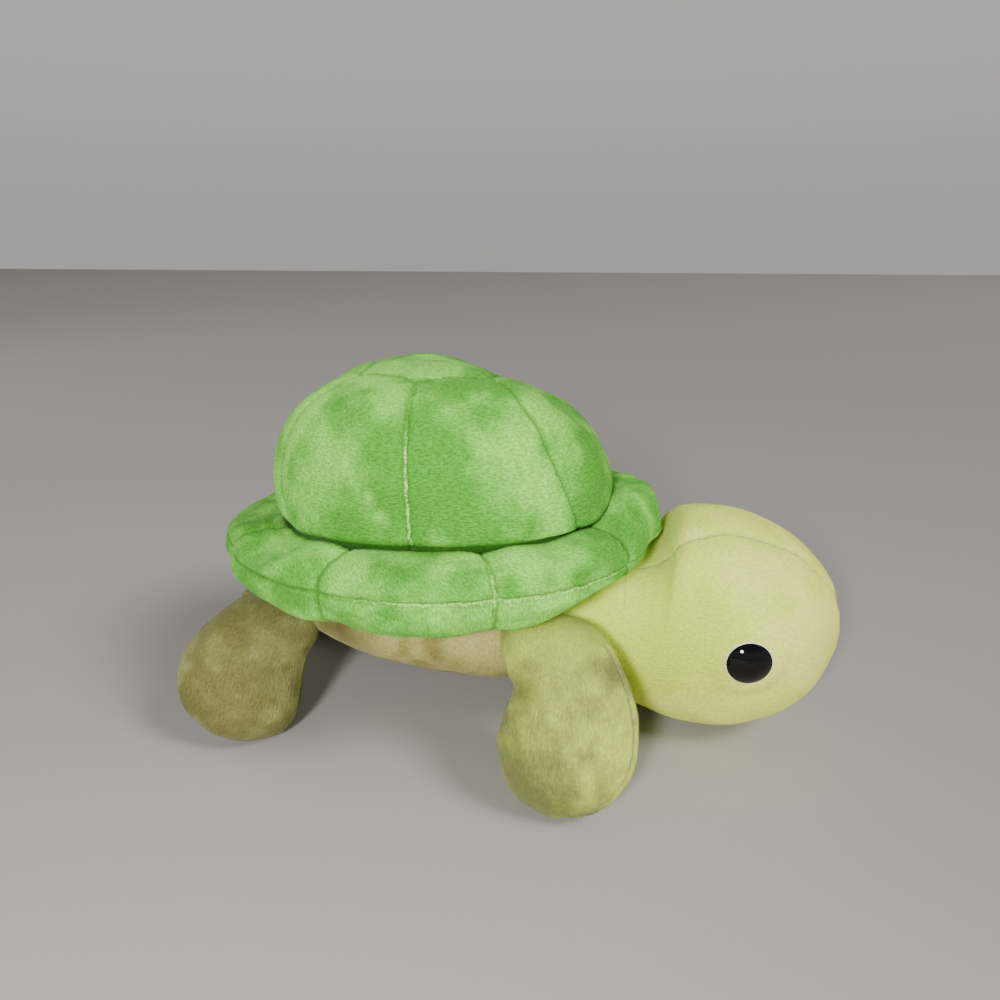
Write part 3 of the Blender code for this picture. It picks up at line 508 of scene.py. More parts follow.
def sewn_bearing(bearing):
    """True bearings from even ones, because the eight lengths of the rim differ a little."""
    return bearing + np.interp(bearing, np.radians(np.arange(-157.5, 180, 45)),
                               np.radians([0, -1.6, 1.0, -4.5, -11.0, -3.0, 0, 0]), period=2 * math.pi)


def edge_angle(bearing):
    """Where round the section the edge seam lies: above the middle at the back and below it at the front."""
    return -0.19 * np.cos(bearing)


def rim_surface(bearing, around):
    """A ring round the shell: an oval middle line, and about it a squarish section 41 mm across that is higher below
    the edge seam than above it, drawn in a little at the eight cross seams. Angle 0 around is the edge seam."""
    cosine, sine = np.cos(around), np.sin(around)
    swell = 1 - (0.04 + 0.02 * sine) * (1 - np.abs(np.sin(4 * (bearing + math.radians(22.5))))) ** 1.5
    bearing = sewn_bearing(bearing)
    ease = (np.abs(cosine) ** rim_roundness + np.abs(sine) ** rim_roundness) ** (-1 / rim_roundness)
    out = rim_across * cosine * ease * swell
    up = np.where(sine > 0, eased(bearing, rim_up), eased(bearing, rim_down)) * sine * ease * swell
    distance = rim_line(bearing) + out
    return np.stack([distance * np.cos(bearing), distance * np.sin(bearing), up], -1)


def rim_seams(bearing, around):
    """Distances to the edge seam, from the angle around the section, and to the nearest cross seam."""
    edge = np.abs((around - edge_angle(bearing) + math.pi) % (2 * math.pi) - math.pi) * 0.0190
    turn = bearing % math.radians(45) - math.radians(22.5)
    return edge + 0 * turn, np.abs(turn) * (rim_line(bearing) + rim_across * np.cos(around))


rim_start = math.radians(22.5)
rim_bearing = rim_start + np.linspace(0, 2 * math.pi, 144, endpoint=False)[None, :]
rim_around = -np.linspace(0, 2 * math.pi, 32, endpoint=False)[:, None]
coarse = rim_surface(rim_bearing, rim_around)
edge, cross = rim_seams(rim_bearing, rim_around)
drawn = np.clip(1.3 + 1.4 * np.sin(rim_around), 0.15, 1)
held = np.maximum(np.clip(1 - edge / 0.005, 0, 1), np.clip(1 - (cross - 0.001) / 0.006, 0, 1) * drawn)
held[(np.cos(rim_around) < -0.35)[:, 0]] = 1
puffed = stuffed(coarse - outward(coarse, True) * 0.0012, held, 6.0, 0.0034, 0.04, True)
fine = finer(puffed, 150, 620, True)
fine_bearing = rim_start + np.linspace(0, 2 * math.pi, 620, endpoint=False)[None, :]
fine_around = -np.linspace(0, 2 * math.pi, 150, endpoint=False)[:, None]
edge, cross = rim_seams(fine_bearing, fine_around)
outer = np.cos(fine_around) > -0.4
cross = np.where(outer, cross, 0.02)
edge = np.where(outer, edge, 0.02)
normal = outward(fine, True)
run = fine_bearing * 0.1 + 0 * edge
around_run = fine_around * 0.019 + 0 * cross
pull = 0.5 + 0.5 * along_lumps(run, 0 * run, 0.006, 31)
drawn = np.clip(1.3 + 1.4 * np.sin(fine_around), 0.15, 1)
pucker = along_lumps(run, edge * 0.25, 0.0065, 5) * np.exp(-edge / 0.007)
pucker = pucker + along_lumps(around_run, cross * 0.3 + fine_bearing, 0.007, 6) * np.exp(-cross / 0.007)
fine = fine + normal * (-0.0010 * np.exp(-edge / 0.0012) * (0.7 + 0.5 * pull)
                        - drawn * (0.0011 * np.exp(-cross / 0.0014) + 0.0008 * np.exp(-(cross / 0.006) ** 2))
                        + 0.0004 * pucker + 0.0007 * lumps(fine, 0.034, 4) + 0.00025 * lumps(fine, 0.012, 7)
                        + 0.00012 * lumps(fine, 0.0022, 23))[..., None]
wide_bearing = rim_start + np.linspace(0, 2 * math.pi, 621)[None, :]
wide_around = -np.linspace(0, 2 * math.pi, 151)[:, None]
panel = np.floor((wide_bearing - rim_start) / math.radians(45.0001))
nap = np.where(np.sin(wide_around) > 0, 0.75 + 0.45 * np.sin(panel * 2.4), 0.12 * np.sin(panel * 1.7))
across_nap, along_nap = wide_bearing * 0.1 + 0 * wide_around, wide_around * 0.019 + 0 * wide_bearing
lay = np.stack([across_nap * np.cos(nap) + along_nap * np.sin(nap),
                along_nap * np.cos(nap) - across_nap * np.sin(nap)], -1)
rim = grid_object("rim", in_world(fine), True, lay)
near_side = np.cos(fine_bearing - math.radians(-62))
distance, true_bearing = np.hypot(fine[..., 0], fine[..., 1]), np.arctan2(fine[..., 1], fine[..., 0])
to_dome = distance - np.interp(true_bearing, wall_bearing, wall_distance, period=2 * math.pi)
from_edge = (fine_around - edge_angle(fine_bearing) + math.pi) % (2 * math.pi) - math.pi
pale = np.where(edge < 0.003, np.clip(near_side * 5 - 3.4, 0, 1),
                np.clip(near_side * 12 - 11, 0, 1) * np.exp(-((from_edge - 0.45) / 0.6) ** 2))
# Painted shade on the rim's top, close to the dome, where the dome tucks in.
inner = np.exp(-np.maximum(to_dome, 0) / 0.0012) * (np.sin(fine_around) > 0)
stroked = [(-104, -50, 108, 12, 0.5), (-120, -60, 99, 10, -0.3), (-79, -79, 107, 9, -0.7), (-65, -80, 110, 10, 0.8),
           (-42, -85, 109, 10, -0.9), (-23, -80, 111, 10, 0.9), (-13, -87, 106, 9, -0.9), (6, -74, 112, 13, 1.0),
           (22, -66, 111, 10, 0.8), (3, -83, 105, 6, -0.9), (18, -77, 105, 6, -0.9), (30, -70, 105, 6, -0.8),
           (48, -40, 114, 12, -1.0), (53, -3, 106, 15, -1.0), (-91, -81, 94, 12, -0.8), (-113, -65, 94, 10, -0.7),
           (-64, -89, 92, 9, -0.3), (-46, -91, 92, 9, -0.8), (-32, -91, 92, 9, -0.1), (-11, -88, 93, 10, 0.2),
           (4, -83, 92, 7, 0.4), (18, -78, 96, 10, 0.9), (40, -63, 98, 9, 0.4)]
add_marks(rim, seam_a=np.where(outer, np.sin(fine_around - edge_angle(fine_bearing)) * 0.0190, 1.0) + 0 * edge,
          seam_b=np.sin(4 * (fine_bearing - rim_start)) / 4 * 0.1 + 0 * edge,
          show=np.clip((np.cos(fine_around) + 0.5) / 0.2, 0, 1) + 0 * edge, pale=pale, crease=inner + 0 * edge,
          brushed=brushed(in_world(fine), 0.024, 51, stroked))
rim.data.materials.append(green_plush)
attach(rim, "shell_and_body")
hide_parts("rim_filling", "shell_base_cloth", *["rim_%s_panel_%d" % (level, n) for level in ("upper", "lower")
                                                       for n in range(1, 9)])

# Body. A tan-green bag under the shell: a belly panel and two side panels, stuffed a little softer than the shell.
# Its top is hidden inside the rim, and it is drawn in where the four legs are sewn on.
limb_roots = {"front_leg_right": (0.020174, -0.06, 0.057836), "front_leg_left": (0.020174, 0.06, 0.057836),
              "hind_leg_right": (-0.119826, -0.042, 0.055073), "hind_leg_left": (-0.119826, 0.042, 0.055073)}
limb_reach = {"front_leg": ((0.0105, 0.035, -0.0555), 16), "hind_leg": ((-0.0185, 0.015, -0.053), -8)}


def limb_axes(limb):
    """Across a limb's paddle, through it, and along it from its root to its foot; mirrored from side to side."""
    kind, side = limb.rsplit("_", 1)
    sign = -1 if side == "right" else 1
    reach, turn = limb_reach[kind]
    along = np.array(reach) * np.array([1, sign, 1])
    along = along / np.linalg.norm(along)
    facing = np.array([math.cos(math.radians(turn)), sign * math.sin(math.radians(turn)), 0.0])
    width = facing - along * facing.dot(along)
    width = width / np.linalg.norm(width)
    return width, np.cross(along, width), along


def body_surface(azimuth, polar):
    """A squared oval bag: directions drawn out to a rounded box in plan, round below, straighter above, and lower
    towards the front."""
    east, north, up = np.sin(polar) * np.cos(azimuth), np.sin(polar) * np.sin(azimuth), np.cos(polar)
    flat = np.hypot(east, north)
    ease = flat / np.maximum((np.abs(east) ** 2.4 + np.abs(north) ** 2.4) ** (1 / 2.4), 1e-9)
    ease = np.where(up > 0, ease * (flat ** 3 + np.maximum(up, 0) ** 3) ** (-1 / 3), ease)
    x = east * ease * 0.086
    height = -0.0345 + up * np.where(up > 0, 0.026, 0.040) - x * np.where(up > 0, 0.052, 0.052 - 0.075 * up)
    return np.stack([shell_middle[0] + 0.003 + x, north * ease * 0.057 + 0 * up, shell_middle[2] + height], -1)


body_azimuth = np.linspace(0, 2 * math.pi, 100, endpoint=False)[None, :]
body_polar = np.linspace(0, math.pi, 48)[:, None]
coarse = body_surface(body_azimuth, body_polar)
belly_seam = np.abs(coarse[..., 2] - 0.036)
held = np.clip(1 - belly_seam / 0.004, 0, 1) * 0.8
held[coarse[..., 2] > 0.070] = 1
puffed = stuffed(coarse - outward(coarse) * 0.0010, held, 4.0, 0.0030, 0.03)
fine = finer(puffed, 130, 320)
belly_seam = np.abs(fine[..., 2] - 0.036)
fine = fine + outward(fine) * (-0.0008 * np.exp(-belly_seam / 0.0014) + 0.0011 * lumps(fine, 0.03, 8)
                               + 0.0005 * lumps(fine, 0.011, 9) + 0.00010 * lumps(fine, 0.0022, 25))[..., None]
hem = np.ones(fine.shape[:2])
for limb, root in limb_roots.items():
    width, thick, along = limb_axes(limb)
    away = fine - np.array(root)
    parts = np.stack([away @ width / 0.0245, away @ thick / 0.0215, away @ along / 0.0235], -1)
    size = np.linalg.norm(parts, axis=-1, keepdims=True)
    hem = np.minimum(hem, np.abs(size[..., 0] - 1) * 0.022 / 0.006)
    fine = np.where(size < 1, np.array(root) + away / np.maximum(size, 1e-9), fine)
body = grid_object("body", fine, False, even_lay(np.linspace(0, math.pi * 0.05, 130)[:, None], 2 * math.pi * 0.06, 320))
# Painted shade on the body: darker under the rim at its top, round the legs where they are sewn on, and on the near
# side at the back, where the rim's shadow falls.
shaded = np.exp(-np.sum(((fine - np.array([-0.080, -0.052, 0.062])) / np.array([0.016, 0.02, 0.02])) ** 2, -1))
add_marks(body, seam_a=fine[..., 2] - 0.036, show=0.7, brushed=brushed(fine, 0.028, 61),
          crease=np.maximum(np.clip((fine[..., 2] - 0.068) / 0.010, 0, 1) * 0.6, 0.35 * np.exp(-hem * 5))
          + 0.8 * shaded)
merge_poles(body)
belly_plush = plush("belly_plush", (0.290, 0.243, 0.070), (0.53, 0.475, 0.165), (0.95, 0.90, 0.60),
                    (0.6, 0.55, 0.30), 0.15)
body.data.materials.append(belly_plush)
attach(body, "shell_and_body")
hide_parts("body_filling", "belly_panel", "body_side_right", "body_side_left")

# Neck and head. One big soft form of pale yellow-green plush that grows out of the body under the rim: the neck is
# a wide sleeve sewn to the body, and the head is two side panels, a top gusset and a chin gusset met at the nose.
neck_middle = np.array([0.046174, 0.0, 0.0545])
head_rings = np.array([
    # top x, top z, bottom x, bottom z, half width
    (0.1580, 0.0545, 0.1580, 0.0545, 0.0000), (0.1568, 0.0652, 0.1571, 0.0442, 0.0103),
    (0.1528, 0.0757, 0.1535, 0.0336, 0.0203), (0.1464, 0.0848, 0.1476, 0.0240, 0.0293),
    (0.1384, 0.0928, 0.1400, 0.0160, 0.0370), (0.1291, 0.0996, 0.1306, 0.0096, 0.0431),
    (0.1187, 0.1051, 0.1200, 0.0046, 0.0472), (0.1080, 0.1089, 0.1080, 0.0012, 0.0496),
    (0.0970, 0.1110, 0.0960, 0.0004, 0.0500), (0.0862, 0.1110, 0.0838, 0.0014, 0.0492),
    (0.0784, 0.1085, 0.0730, 0.0034, 0.0480), (0.0732, 0.1032, 0.0645, 0.0062, 0.0466),
    (0.0695, 0.0955, 0.0580, 0.0092, 0.0456), (0.0640, 0.0900, 0.0528, 0.0122, 0.0448),
    (0.0575, 0.0868, 0.0490, 0.0150, 0.0442), (0.0510, 0.0854, 0.0460, 0.0174, 0.0440),
    (0.0440, 0.0846, 0.0410, 0.0200, 0.0444), (0.0350, 0.0836, 0.0340, 0.0235, 0.0456),
    (0.0250, 0.0818, 0.0260, 0.0275, 0.0474), (0.0150, 0.0775, 0.0170, 0.0330, 0.0470),
    (0.0070, 0.0670, 0.0080, 0.0420, 0.0330), (0.0050, 0.0540, 0.0050, 0.0540, 0.0000)])
neck_ring = 15


def middle_x(rings):
    """How far forward the middle of each ring lies."""
    return (rings[:, 0:1] + rings[:, 2:3]) / 2


def ringed_surface(rings, round_angle):
    """Rings from nose to neck: each lies in the slanted plane through its top and bottom points, squarer below than
    above. Angles run round it from straight up."""
    top, bottom, half = rings[:, None, 0:2], rings[:, None, 2:4], rings[:, 4:5]
    y, z = np.sin(round_angle), np.cos(round_angle)
    neck_share = np.clip((0.080 - middle_x(rings)) / 0.020, 0, 1)
    square = np.where(z < 0, 2 + 0.75 * np.abs(z), 2.05 + 0.9 * neck_share)
    ease = (np.abs(y) ** square + np.abs(z) ** square) ** (-1 / square)
    middle, rise = (top + bottom) / 2, (top - bottom) / 2
    spine = middle + rise * (z * ease)[..., None]
    return np.stack([spine[..., 0], half * y * ease, spine[..., 1]], -1)


def head_seams(points):
    """Signed lengths to the seams of the top gusset and of the chin gusset, from the angle round the head's middle.
    The top gusset is widest at the nose and at the neck."""
    x, y, z = points[..., 0], points[..., 1], points[..., 2] - neck_middle[2]
    ring = np.hypot(y, z)
    angle = np.arctan2(np.abs(y), z)
    top_angle = 19.5 + 9 * np.clip((x - 0.130) / 0.025, 0, 1) + 9 * np.clip((0.096 - x) / 0.03, 0, 1)
    return (angle - np.radians(top_angle)) * ring, (angle - math.radians(143)) * ring


ring_count = 64
smooth_rings = between(head_rings, ring_count, False)
split = int(round(neck_ring / (len(head_rings) - 1) * (ring_count - 1)))
head_round = -np.linspace(0, 2 * math.pi, 96, endpoint=False)[None, :] - math.pi
coarse = ringed_surface(smooth_rings, head_round)
top, chin = head_seams(coarse)
held = np.clip(1 - np.minimum(np.abs(top), np.abs(chin)) / 0.005, 0, 1) * 0.9
held = np.where(coarse[..., 0] < 0.070, np.clip((0.074 - coarse[..., 0]) / 0.006, held, 1), held)
puffed = stuffed(coarse - outward(coarse) * 0.0012, held, 5.0, 0.0034, 0.02)
rows_per_ring = 5
fine = finer(puffed, (ring_count - 1) * rows_per_ring + 1, 400)
top, chin = head_seams(fine)
gap = np.minimum(np.abs(top), np.abs(chin))
normal = outward(fine)
run = fine[..., 0]
to_nose = np.linalg.norm(fine - np.array([0.1595, 0, 0.0545]), axis=-1)
fade = np.clip((fine[..., 0] - 0.052) / 0.01, 0, 1)
pucker = along_lumps(run, gap * 0.3, 0.008, 11) * np.exp(-gap / 0.006)
nose_pucker = lumps(fine, 0.004, 14) * np.exp(-(to_nose / 0.014) ** 2)
fine = fine + normal * (fade * (-0.0008 * np.exp(-gap / 0.0011) - 0.0008 * np.exp(-(gap / 0.005) ** 2)
                        + 0.0007 * pucker + 0.0009 * nose_pucker - 0.0012 * np.exp(-to_nose / 0.004))
                        + 0.0009 * lumps(fine, 0.04, 12) + 0.0004 * lumps(fine, 0.013, 13)
                        + 0.00008 * lumps(fine, 0.0022, 26))[..., None]
fine[..., 2] = np.maximum(fine[..., 2], 0.0003)
eye_places, eye_ways = {}, {}
for side, sign in (("right", -1), ("left", 1)):
    way = np.array([0.05634 / 0.0568, sign * 0.99804 / 0.050, 0.02727 / 0.055])
    eye_ways[side] = way / np.linalg.norm(way)
    eye_places[side] = np.array([0.105874, sign * 0.049902, 0.056])
    away = fine - eye_places[side]
    height = away @ eye_ways[side]
    aside = np.linalg.norm(away - height[..., None] * eye_ways[side], axis=-1)
    share = np.clip((0.0200 - aside) / 0.0090, 0, 1) * (np.abs(height) < 0.02)
    share = share * share * (3 - 2 * share)
    fine = fine + (share * (-0.0007 - height))[..., None] * eye_ways[side]
lay_down = np.cumsum(np.linalg.norm(np.diff(fine, axis=0, prepend=fine[:1]), axis=-1).mean(1))[:, None]
lay = even_lay(lay_down, 2 * math.pi * 0.048, 400)
cut = split * rows_per_ring
last_ring = fine[cut]
centre = last_ring.mean(0)
head_cap = np.stack([last_ring, centre + (last_ring - centre) * 0.55 - np.array([0.0015, 0, 0]),
                     0 * last_ring + centre - np.array([0.0020, 0, 0])])
neck_cap = np.stack([0 * last_ring + centre - np.array([0.0060, 0, 0]),
                     centre + (last_ring - centre) * 0.5 - np.array([0.0050, 0, 0]), last_ring])
head_grid = np.concatenate([fine[:cut], head_cap])
neck_grid = np.concatenate([neck_cap, fine[cut + 1:]])
head_lay = np.concatenate([lay[:cut + 1], lay[cut:cut + 1], lay[cut:cut + 1]])
neck_lay = np.concatenate([lay[cut:cut + 1], lay[cut:cut + 1], lay[cut:]])
pale_plush = plush("pale_plush", (0.73, 0.88, 0.088), (0.92, 0.97, 0.190), (1.0, 0.98, 0.70), (0.96, 0.96, 0.42), 0.10)
stroked = [(84, -44, 73, 20, -1.0), (118, -40, 83, 11, -0.6), (123, -45, 62, 14, 0.9), (100, -38, 91, 15, 0.8),
           (68, -39, 59, 20, -1.0), (100, -45, 30, 16, 0.6), (150, -15, 70, 14, 0.9)]
head = grid_object("head", head_grid, False, head_lay)
neck = grid_object("neck", neck_grid, False, neck_lay)
# Painted shade darkens the neck towards the body, under the rim.
for item, grid in ((head, head_grid), (neck, neck_grid)):
    top, chin = head_seams(grid)
    add_marks(item, seam_a=top, seam_b=chin, show=0.8, pale=np.where(np.abs(top) < np.abs(chin), 0.8, 0.2),
              brushed=brushed(grid, 0.034, 71, stroked),
              crease=np.clip((0.050 - grid[..., 0]) / 0.03, 0, 1) * 0.25)
    merge_poles(item)
    item.data.materials.append(pale_plush)
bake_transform(head)
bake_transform(neck)
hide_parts("head_filling", "head_top_gusset", "head_chin_gusset", "head_side_left", "head_side_right")
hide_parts("neck_filling")

# Eyes. Domed glossy black plastic safety eyes, each pressed through the cloth over a thin white ring and held by a
# lock washer inside the head. Dome and ring are turned round the eye's own axis.


def turned(profile, place, way, count=72):
    """A closed surface of revolution: a profile of radius and height, from pole to pole, turned round a way."""
    aside = np.cross(way, [0, 0, 1.0])
    aside = aside / np.linalg.norm(aside)
    over = np.cross(way, aside)
    angle = np.linspace(0, 2 * math.pi, count, endpoint=False)[None, :, None]
    radius, height = profile[:, 0][:, None, None], profile[:, 1][:, None, None]
    return place + radius * (np.cos(angle) * aside + np.sin(angle) * over) + height * way


def plastic(name, colour, roughness, shine):
    """Moulded plastic: one colour with a faint cloudiness, and gloss broken by fine handling marks."""
    material = bpy.data.materials.new(name)
    material.use_nodes = True
    tree = material.node_tree
    shader = tree.nodes["Principled BSDF"]
    place = add_node(tree, "TexCoord")
    cloud = add_node(tree, "TexNoise", {"Scale": 220.0, "Vector": (place, "Object")})
    tone = add_node(tree, "Mix", {"A": (*[c * 0.92 for c in colour], 1), "B": (*colour, 1),
                     "Factor": (cloud, "Fac")}, data_type="RGBA")
    wire(tree, tone, "Result", shader, "Base Color")
    marks = add_node(tree, "TexNoise", {"Scale": 1400.0, "Vector": (place, "Object")})
    gloss = add_node(tree, "MapRange", {"To Min": roughness * 0.7, "To Max": roughness * 1.3, "Value": (marks, "Fac")})
    wire(tree, gloss, "Result", shader, "Roughness")
    shader.inputs["Specular IOR Level"].default_value = shine
    return material


eye_black = plastic("eye_black", (0.0030, 0.0026, 0.0030), 0.06, 0.34)
eye_white = plastic("eye_white", (0.86, 0.86, 0.80), 0.35, 0.5)
ball = (0.0100 ** 2 + 0.0038 ** 2) / (2 * 0.0038)
arc = np.linspace(0, math.asin(0.0098 / ball), 22)
dome_profile = np.concatenate([np.stack([ball * np.sin(arc), ball * np.cos(arc) - ball + 0.0038], -1),
                               [(0.0100, 0.00005), (0.0100, -0.0002), (0.0024, -0.0002), (0.0024, -0.0130),
                                (0.0, -0.0130)]])
ring_profile = np.array([(0.0, -0.0005), (0.0090, -0.0005), (0.0101, -0.0002), (0.0104, -0.0004), (0.0105, -0.0008),
                         (0.0102, -0.0013), (0.0, -0.0013)])
for side in ("right", "left"):
    for name, profile, material, slot in (("eye_dome_", dome_profile, eye_black, "black_plastic"),
                                          ("eye_edge_", ring_profile, eye_white, "white_plastic")):
        piece = grid_object(name + side, turned(profile, eye_places[side], eye_ways[side]))
        merge_poles(piece)
        bm = bmesh.new()
        bm.from_mesh(piece.data)
        bmesh.ops.recalc_face_normals(bm, faces=bm.faces)
        bm.to_mesh(piece.data)
        bm.free()
        piece.data.materials.append(material)
        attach(piece, "head")
        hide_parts(("eye_" if name == "eye_dome_" else "eye_ring_") + side)
    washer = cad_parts["eye_washer_" + side]
    washer.data.materials.clear()
    washer.data.materials.append(eye_white)

# Legs. Each is a soft paddle of an outer and an inner panel, sewn together round its edge and to the body at its
# shoulder, with a fold under the shoulder, and its sole pressed flat by the toy's weight.
leg_rings = {
    # along, middle across, half width, half depth
    "front_leg": np.array([(-22, -5, 0, 0), (-20.5, -4.5, 11, 8), (-15, -2.4, 21.4, 15.5), (-5, 0.9, 25.0, 19.0),
                           (4, 3.4, 26.6, 20.0), (11, 4.6, 27.6, 20.6), (20, 3.4, 30.2, 21.4), (31, 1.8, 32.4, 21.6),
                           (42, 0.9, 31.0, 20.6), (53, -0.5, 25.8, 17.0), (60, -1.5, 18.5, 12.0),
                           (64.8, -2.0, 9.5, 6.2), (66.4, -2.0, 0, 0)]),
    "hind_leg": np.array([(-20, 3, 0, 0), (-18.5, 3, 10, 8), (-13, 2.6, 19.2, 15.0), (-4, 0.5, 23.6, 19.0),
                          (6, -2.9, 25.2, 20.6), (16, -4.0, 28.0, 21.8), (27, -3.4, 30.4, 22.2),
                          (37, -2.8, 30.6, 21.6), (46, -3.0, 27.3, 18.8), (52.5, -3.2, 21.5, 14.5),
                          (56.8, -3.2, 12.5, 8.5), (58.4, -3.0, 0, 0)])}
sign_of = {"right": -1, "left": 1}
front_plush = plush("front_plush", (0.190, 0.208, 0.062), (0.57, 0.65, 0.104), (1.0, 0.96, 0.70),
                    (0.80, 0.78, 0.45), 0.15)
# Painted shade: the hind legs' plush is a darker, browner copy of the front legs' plush, for the shade at the back of
# the toy; the tail wears it too.
hind_shaded_plush = plush("hind_shaded_plush", (0.172, 0.166, 0.050), (0.318, 0.320, 0.110), (1.0, 0.96, 0.70),
                   (0.6, 0.58, 0.36), 0.20)
for leg, root in limb_roots.items():
    kind, side = leg.rsplit("_", 1)
    width, thick, along = limb_axes(leg)
    rings = between(leg_rings[kind], 44, False)[::-1] / 1000
    angle = np.linspace(0, 2 * math.pi, 72, endpoint=False)[None, :] + math.pi
    coarse = (rings[:, 0:1, None] * along + (rings[:, 1:2] + np.maximum(rings[:, 2:3], 0) * np.cos(angle))[..., None]
              * width + (np.maximum(rings[:, 3:4], 0) * np.sin(angle))[..., None] * thick)
    seam_at = np.abs(np.sin(angle)) * rings[:, 3:4]
    held = np.clip(1 - seam_at / 0.004, 0, 1) * 0.9
    held = np.where(rings[:, 0:1] < 0.002, 1, held)
    puffed = stuffed(coarse - outward(coarse) * 0.0010, held, 4.0, 0.0028, 0.02)
    fine = finer(puffed, 150, 260)
    through, level, across = fine @ thick, fine @ along, fine @ width
    to_outside = through * np.sign(thick[1]) * sign_of[side]
    seam_side = to_outside - (0.0045 if kind == "front_leg" else 0.0) * np.clip(across / 0.012, 0, 1)
    seam = np.abs(seam_side) + np.where(level < -0.004, 0.02, 0)
    normal = outward(fine)
    run = np.arctan2(across, level - 0.03) * 0.03
    pucker = along_lumps(run, seam * 0.3, 0.007, 17) * np.exp(-seam / 0.006)
    fine = fine + normal * (-0.0008 * np.exp(-seam / 0.0010) + 0.0006 * np.exp(-((seam - 0.0022) / 0.0014) ** 2)
                            + 0.0006 * pucker + 0.0010 * lumps(fine + root, 0.028, 15)
                            + 0.0005 * lumps(fine + root, 0.011, 16)
                            + 0.00010 * lumps(fine + root, 0.0022, 28))[..., None]
    fold = np.exp(-((level - 0.0100) / 0.0040) ** 2) * np.clip(-across / 0.012, 0, 1) * (kind == "front_leg")
    fine = fine - normal * (0.0012 * fold)[..., None]
    fine = fine + np.array(root)
    fine[..., 2] = np.maximum(fine[..., 2], 0.0002)
    lay = even_lay(np.linspace(0, 0.095, 150)[:, None], 2 * math.pi * 0.027, 260)
    lay[..., 0] += 0.12 * lay[..., 1]
    item = grid_object(leg, fine, False, lay)
    stroked = []
    # On the front legs these places paint light and shade over the brushed pile: lighter at the top and on the front
    # edge, darker towards the foot and along the back edge.
    if kind == "front_leg":
        for x, y, z, radius, strength in ((24, -70, 76, 20, 0.9), (22, -84, 58, 16, 0.0), (49, -92, 40, 16, 0.7),
                                          (20, -100, 26, 20, -0.3), (14, -96, 10, 16, -0.7), (-6, -94, 26, 12, -0.9)):
            stroked.append((x, -sign_of[side] * y, z, radius, strength))
    # Painted shade towards the top of each leg, under the rim, and in the fold under the front legs' shoulders.
    add_marks(item, seam_a=seam_side + np.sign(seam_side) * 0.02 * (level < -0.004), show=0.8, pale=0.35,
              brushed=brushed(fine, 0.026, 81, stroked),
              crease=np.clip((fine[..., 2] - 0.062) / 0.016, 0, 1) * 0.40 + 0.20 * fold)
    merge_poles(item)
    item.data.materials.append(front_plush if kind == "front_leg" else hind_shaded_plush)
    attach(item, leg)
    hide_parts(leg + "_outer_panel", leg + "_inner_panel", leg + "_filling")

# Tail. A small stuffed teardrop of pale plush, sewn in under the back of the rim.
tail_root = np.array([-0.118826, 0.0, 0.050])
tail_azimuth = np.linspace(0, 2 * math.pi, 90, endpoint=False)[None, :]
tail_polar = np.linspace(0, math.pi, 50)[:, None]


def tail_surface(azimuth, polar):
    """A ball at the root that swells into a rounded tip: radii grow evenly from root to tip along a drooping line."""
    up = np.cos(polar) + 0 * azimuth
    level = np.maximum(up, 0)
    wide = np.sin(polar) * np.cos(azimuth) * (0.0085 + 0.0035 * level)
    deep = np.sin(polar) * np.sin(azimuth) * (0.0085 + 0.0005 * level)
    far = np.where(up > 0, up * 0.034, up * 0.0085)
    return np.stack([-far, wide, deep - 0.035 * far], -1)


fine = tail_surface(tail_azimuth, tail_polar)
normal = outward(fine)
if (normal[20] * (fine[20] - fine[20].mean(0))).sum() < 0:
    fine = fine[:, ::-1]
    normal = outward(fine)
fine = fine + normal * (0.0006 * lumps(fine, 0.010, 21) + 0.0001 * lumps(fine, 0.002, 29))[..., None]
tail = grid_object("tail", fine + tail_root, False,
                   even_lay(np.linspace(0, 0.05, 50)[:, None], 2 * math.pi * 0.010, 90))
add_marks(tail, brushed=brushed(fine, 0.02, 91))
merge_poles(tail)
# Painted shade: the tail wears the hind legs' darkened plush.
tail.data.materials.append(hind_shaded_plush)
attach(tail, "tail")
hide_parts("tail_cover", "tail_filling")

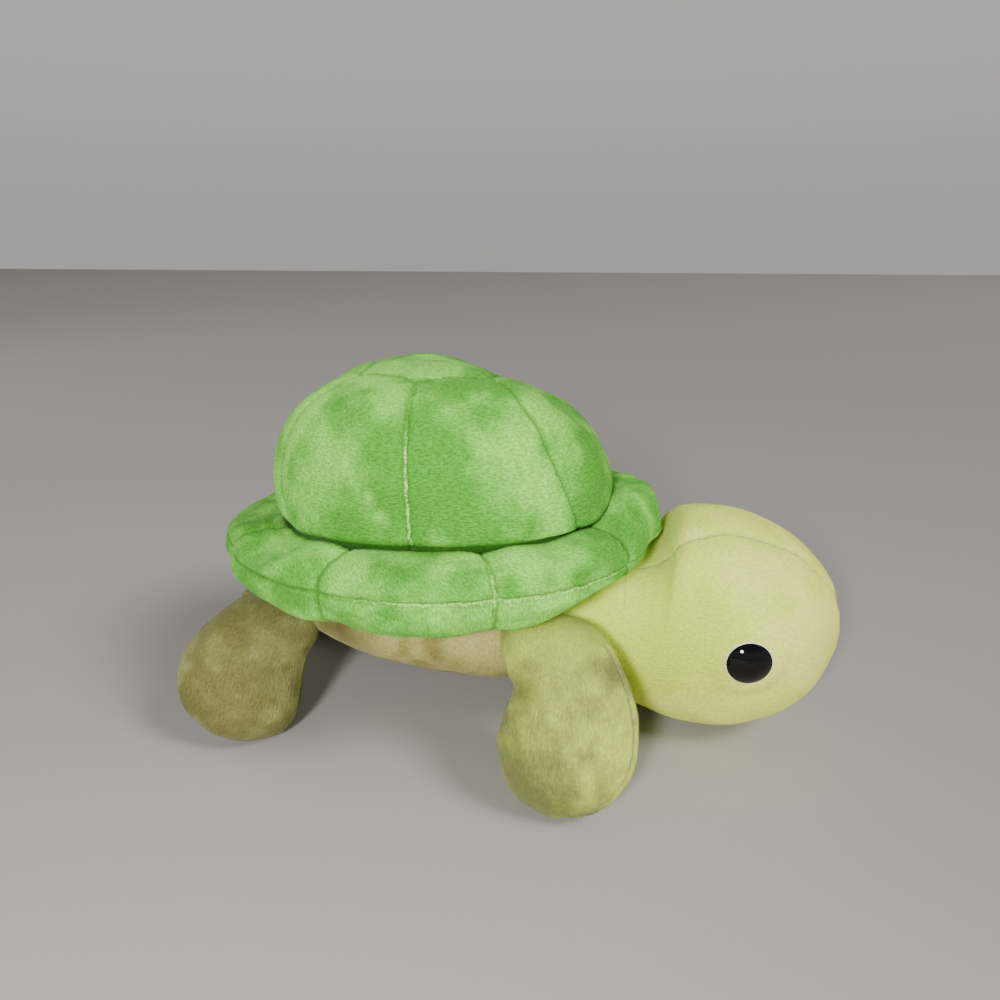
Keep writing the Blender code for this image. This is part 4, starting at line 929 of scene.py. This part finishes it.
# Studio: a pale floor, soft lights and the camera at the photograph's angle.
floor_mesh = bpy.data.meshes.new("floor")
floor_mesh.from_pydata([(-4, -4, 0), (4, -4, 0), (4, 4, 0), (-4, 4, 0)], [], [(0, 1, 2, 3)])
floor = bpy.data.objects.new("floor", floor_mesh)
bpy.context.scene.collection.objects.link(floor)
floor_paint = bpy.data.materials.new("floor_paint")
floor_paint.use_nodes = True
shader = floor_paint.node_tree.nodes["Principled BSDF"]
shader.inputs["Base Color"].default_value = (0.40, 0.382, 0.355, 1)
shader.inputs["Roughness"].default_value = 0.9
shader.inputs["Specular IOR Level"].default_value = 0.1
floor_mesh.materials.append(floor_paint)
world = bpy.data.worlds.new("studio")
world.use_nodes = True
tree = world.node_tree
sky_place = add_node(tree, "TexCoord")
sky_parts = add_node(tree, "SeparateXYZ", {0: (sky_place, "Generated")})
sky_rise = add_node(tree, "MapRange", {"From Max": 0.20, "To Min": 0.46, "To Max": 0.57,
                     "Value": (sky_parts, "Z")}, interpolation_type="SMOOTHSTEP")
sky_fall = add_node(tree, "MapRange", {"From Min": 0.24, "From Max": 0.60, "To Max": 0.38,
                     "Value": (sky_parts, "Z")}, interpolation_type="SMOOTHSTEP")
sky_light = add_node(tree, "Math", {0: (sky_rise, "Result"), 1: (sky_fall, "Result")}, operation="SUBTRACT")
tree.nodes["Background"].inputs["Color"].default_value = (0.88, 0.86, 0.85, 1)
tree.links.new(sky_light.outputs[0], tree.nodes["Background"].inputs["Strength"])
bpy.context.scene.world = world
for name, place, aim, size, power in (("key", (9.2, -3.6, 9.6), (0, 0, 0.05), 4.5, 1350.0),
                                      ("lamp", (-0.100, -0.660, 0.375), (0.06, 0, 0.05), 0.11, 5.1),
                                      ("window", (-1.6, 0.4, 0.9), (-0.05, 0, 0.08), 0.80, 4.0)):
    light = bpy.data.lights.new(name, "AREA")
    light.shape = "DISK"
    light.size = size
    light.energy = power
    lamp = bpy.data.objects.new(name, light)
    lamp.location = place
    lamp.rotation_euler = (Vector(aim) - Vector(place)).to_track_quat("-Z", "Y").to_euler()
    bpy.context.scene.collection.objects.link(lamp)
lens = bpy.data.cameras.new("camera")
lens.sensor_width = 36.0
lens.lens = 27.04
camera = bpy.data.objects.new("camera", lens)
camera.location = (shell_middle[0] + 0.0685, -0.3485, 0.238)
camera.rotation_euler = (math.radians(70), 0, math.radians(6.5))
bpy.context.scene.collection.objects.link(camera)
bpy.context.scene.camera = camera
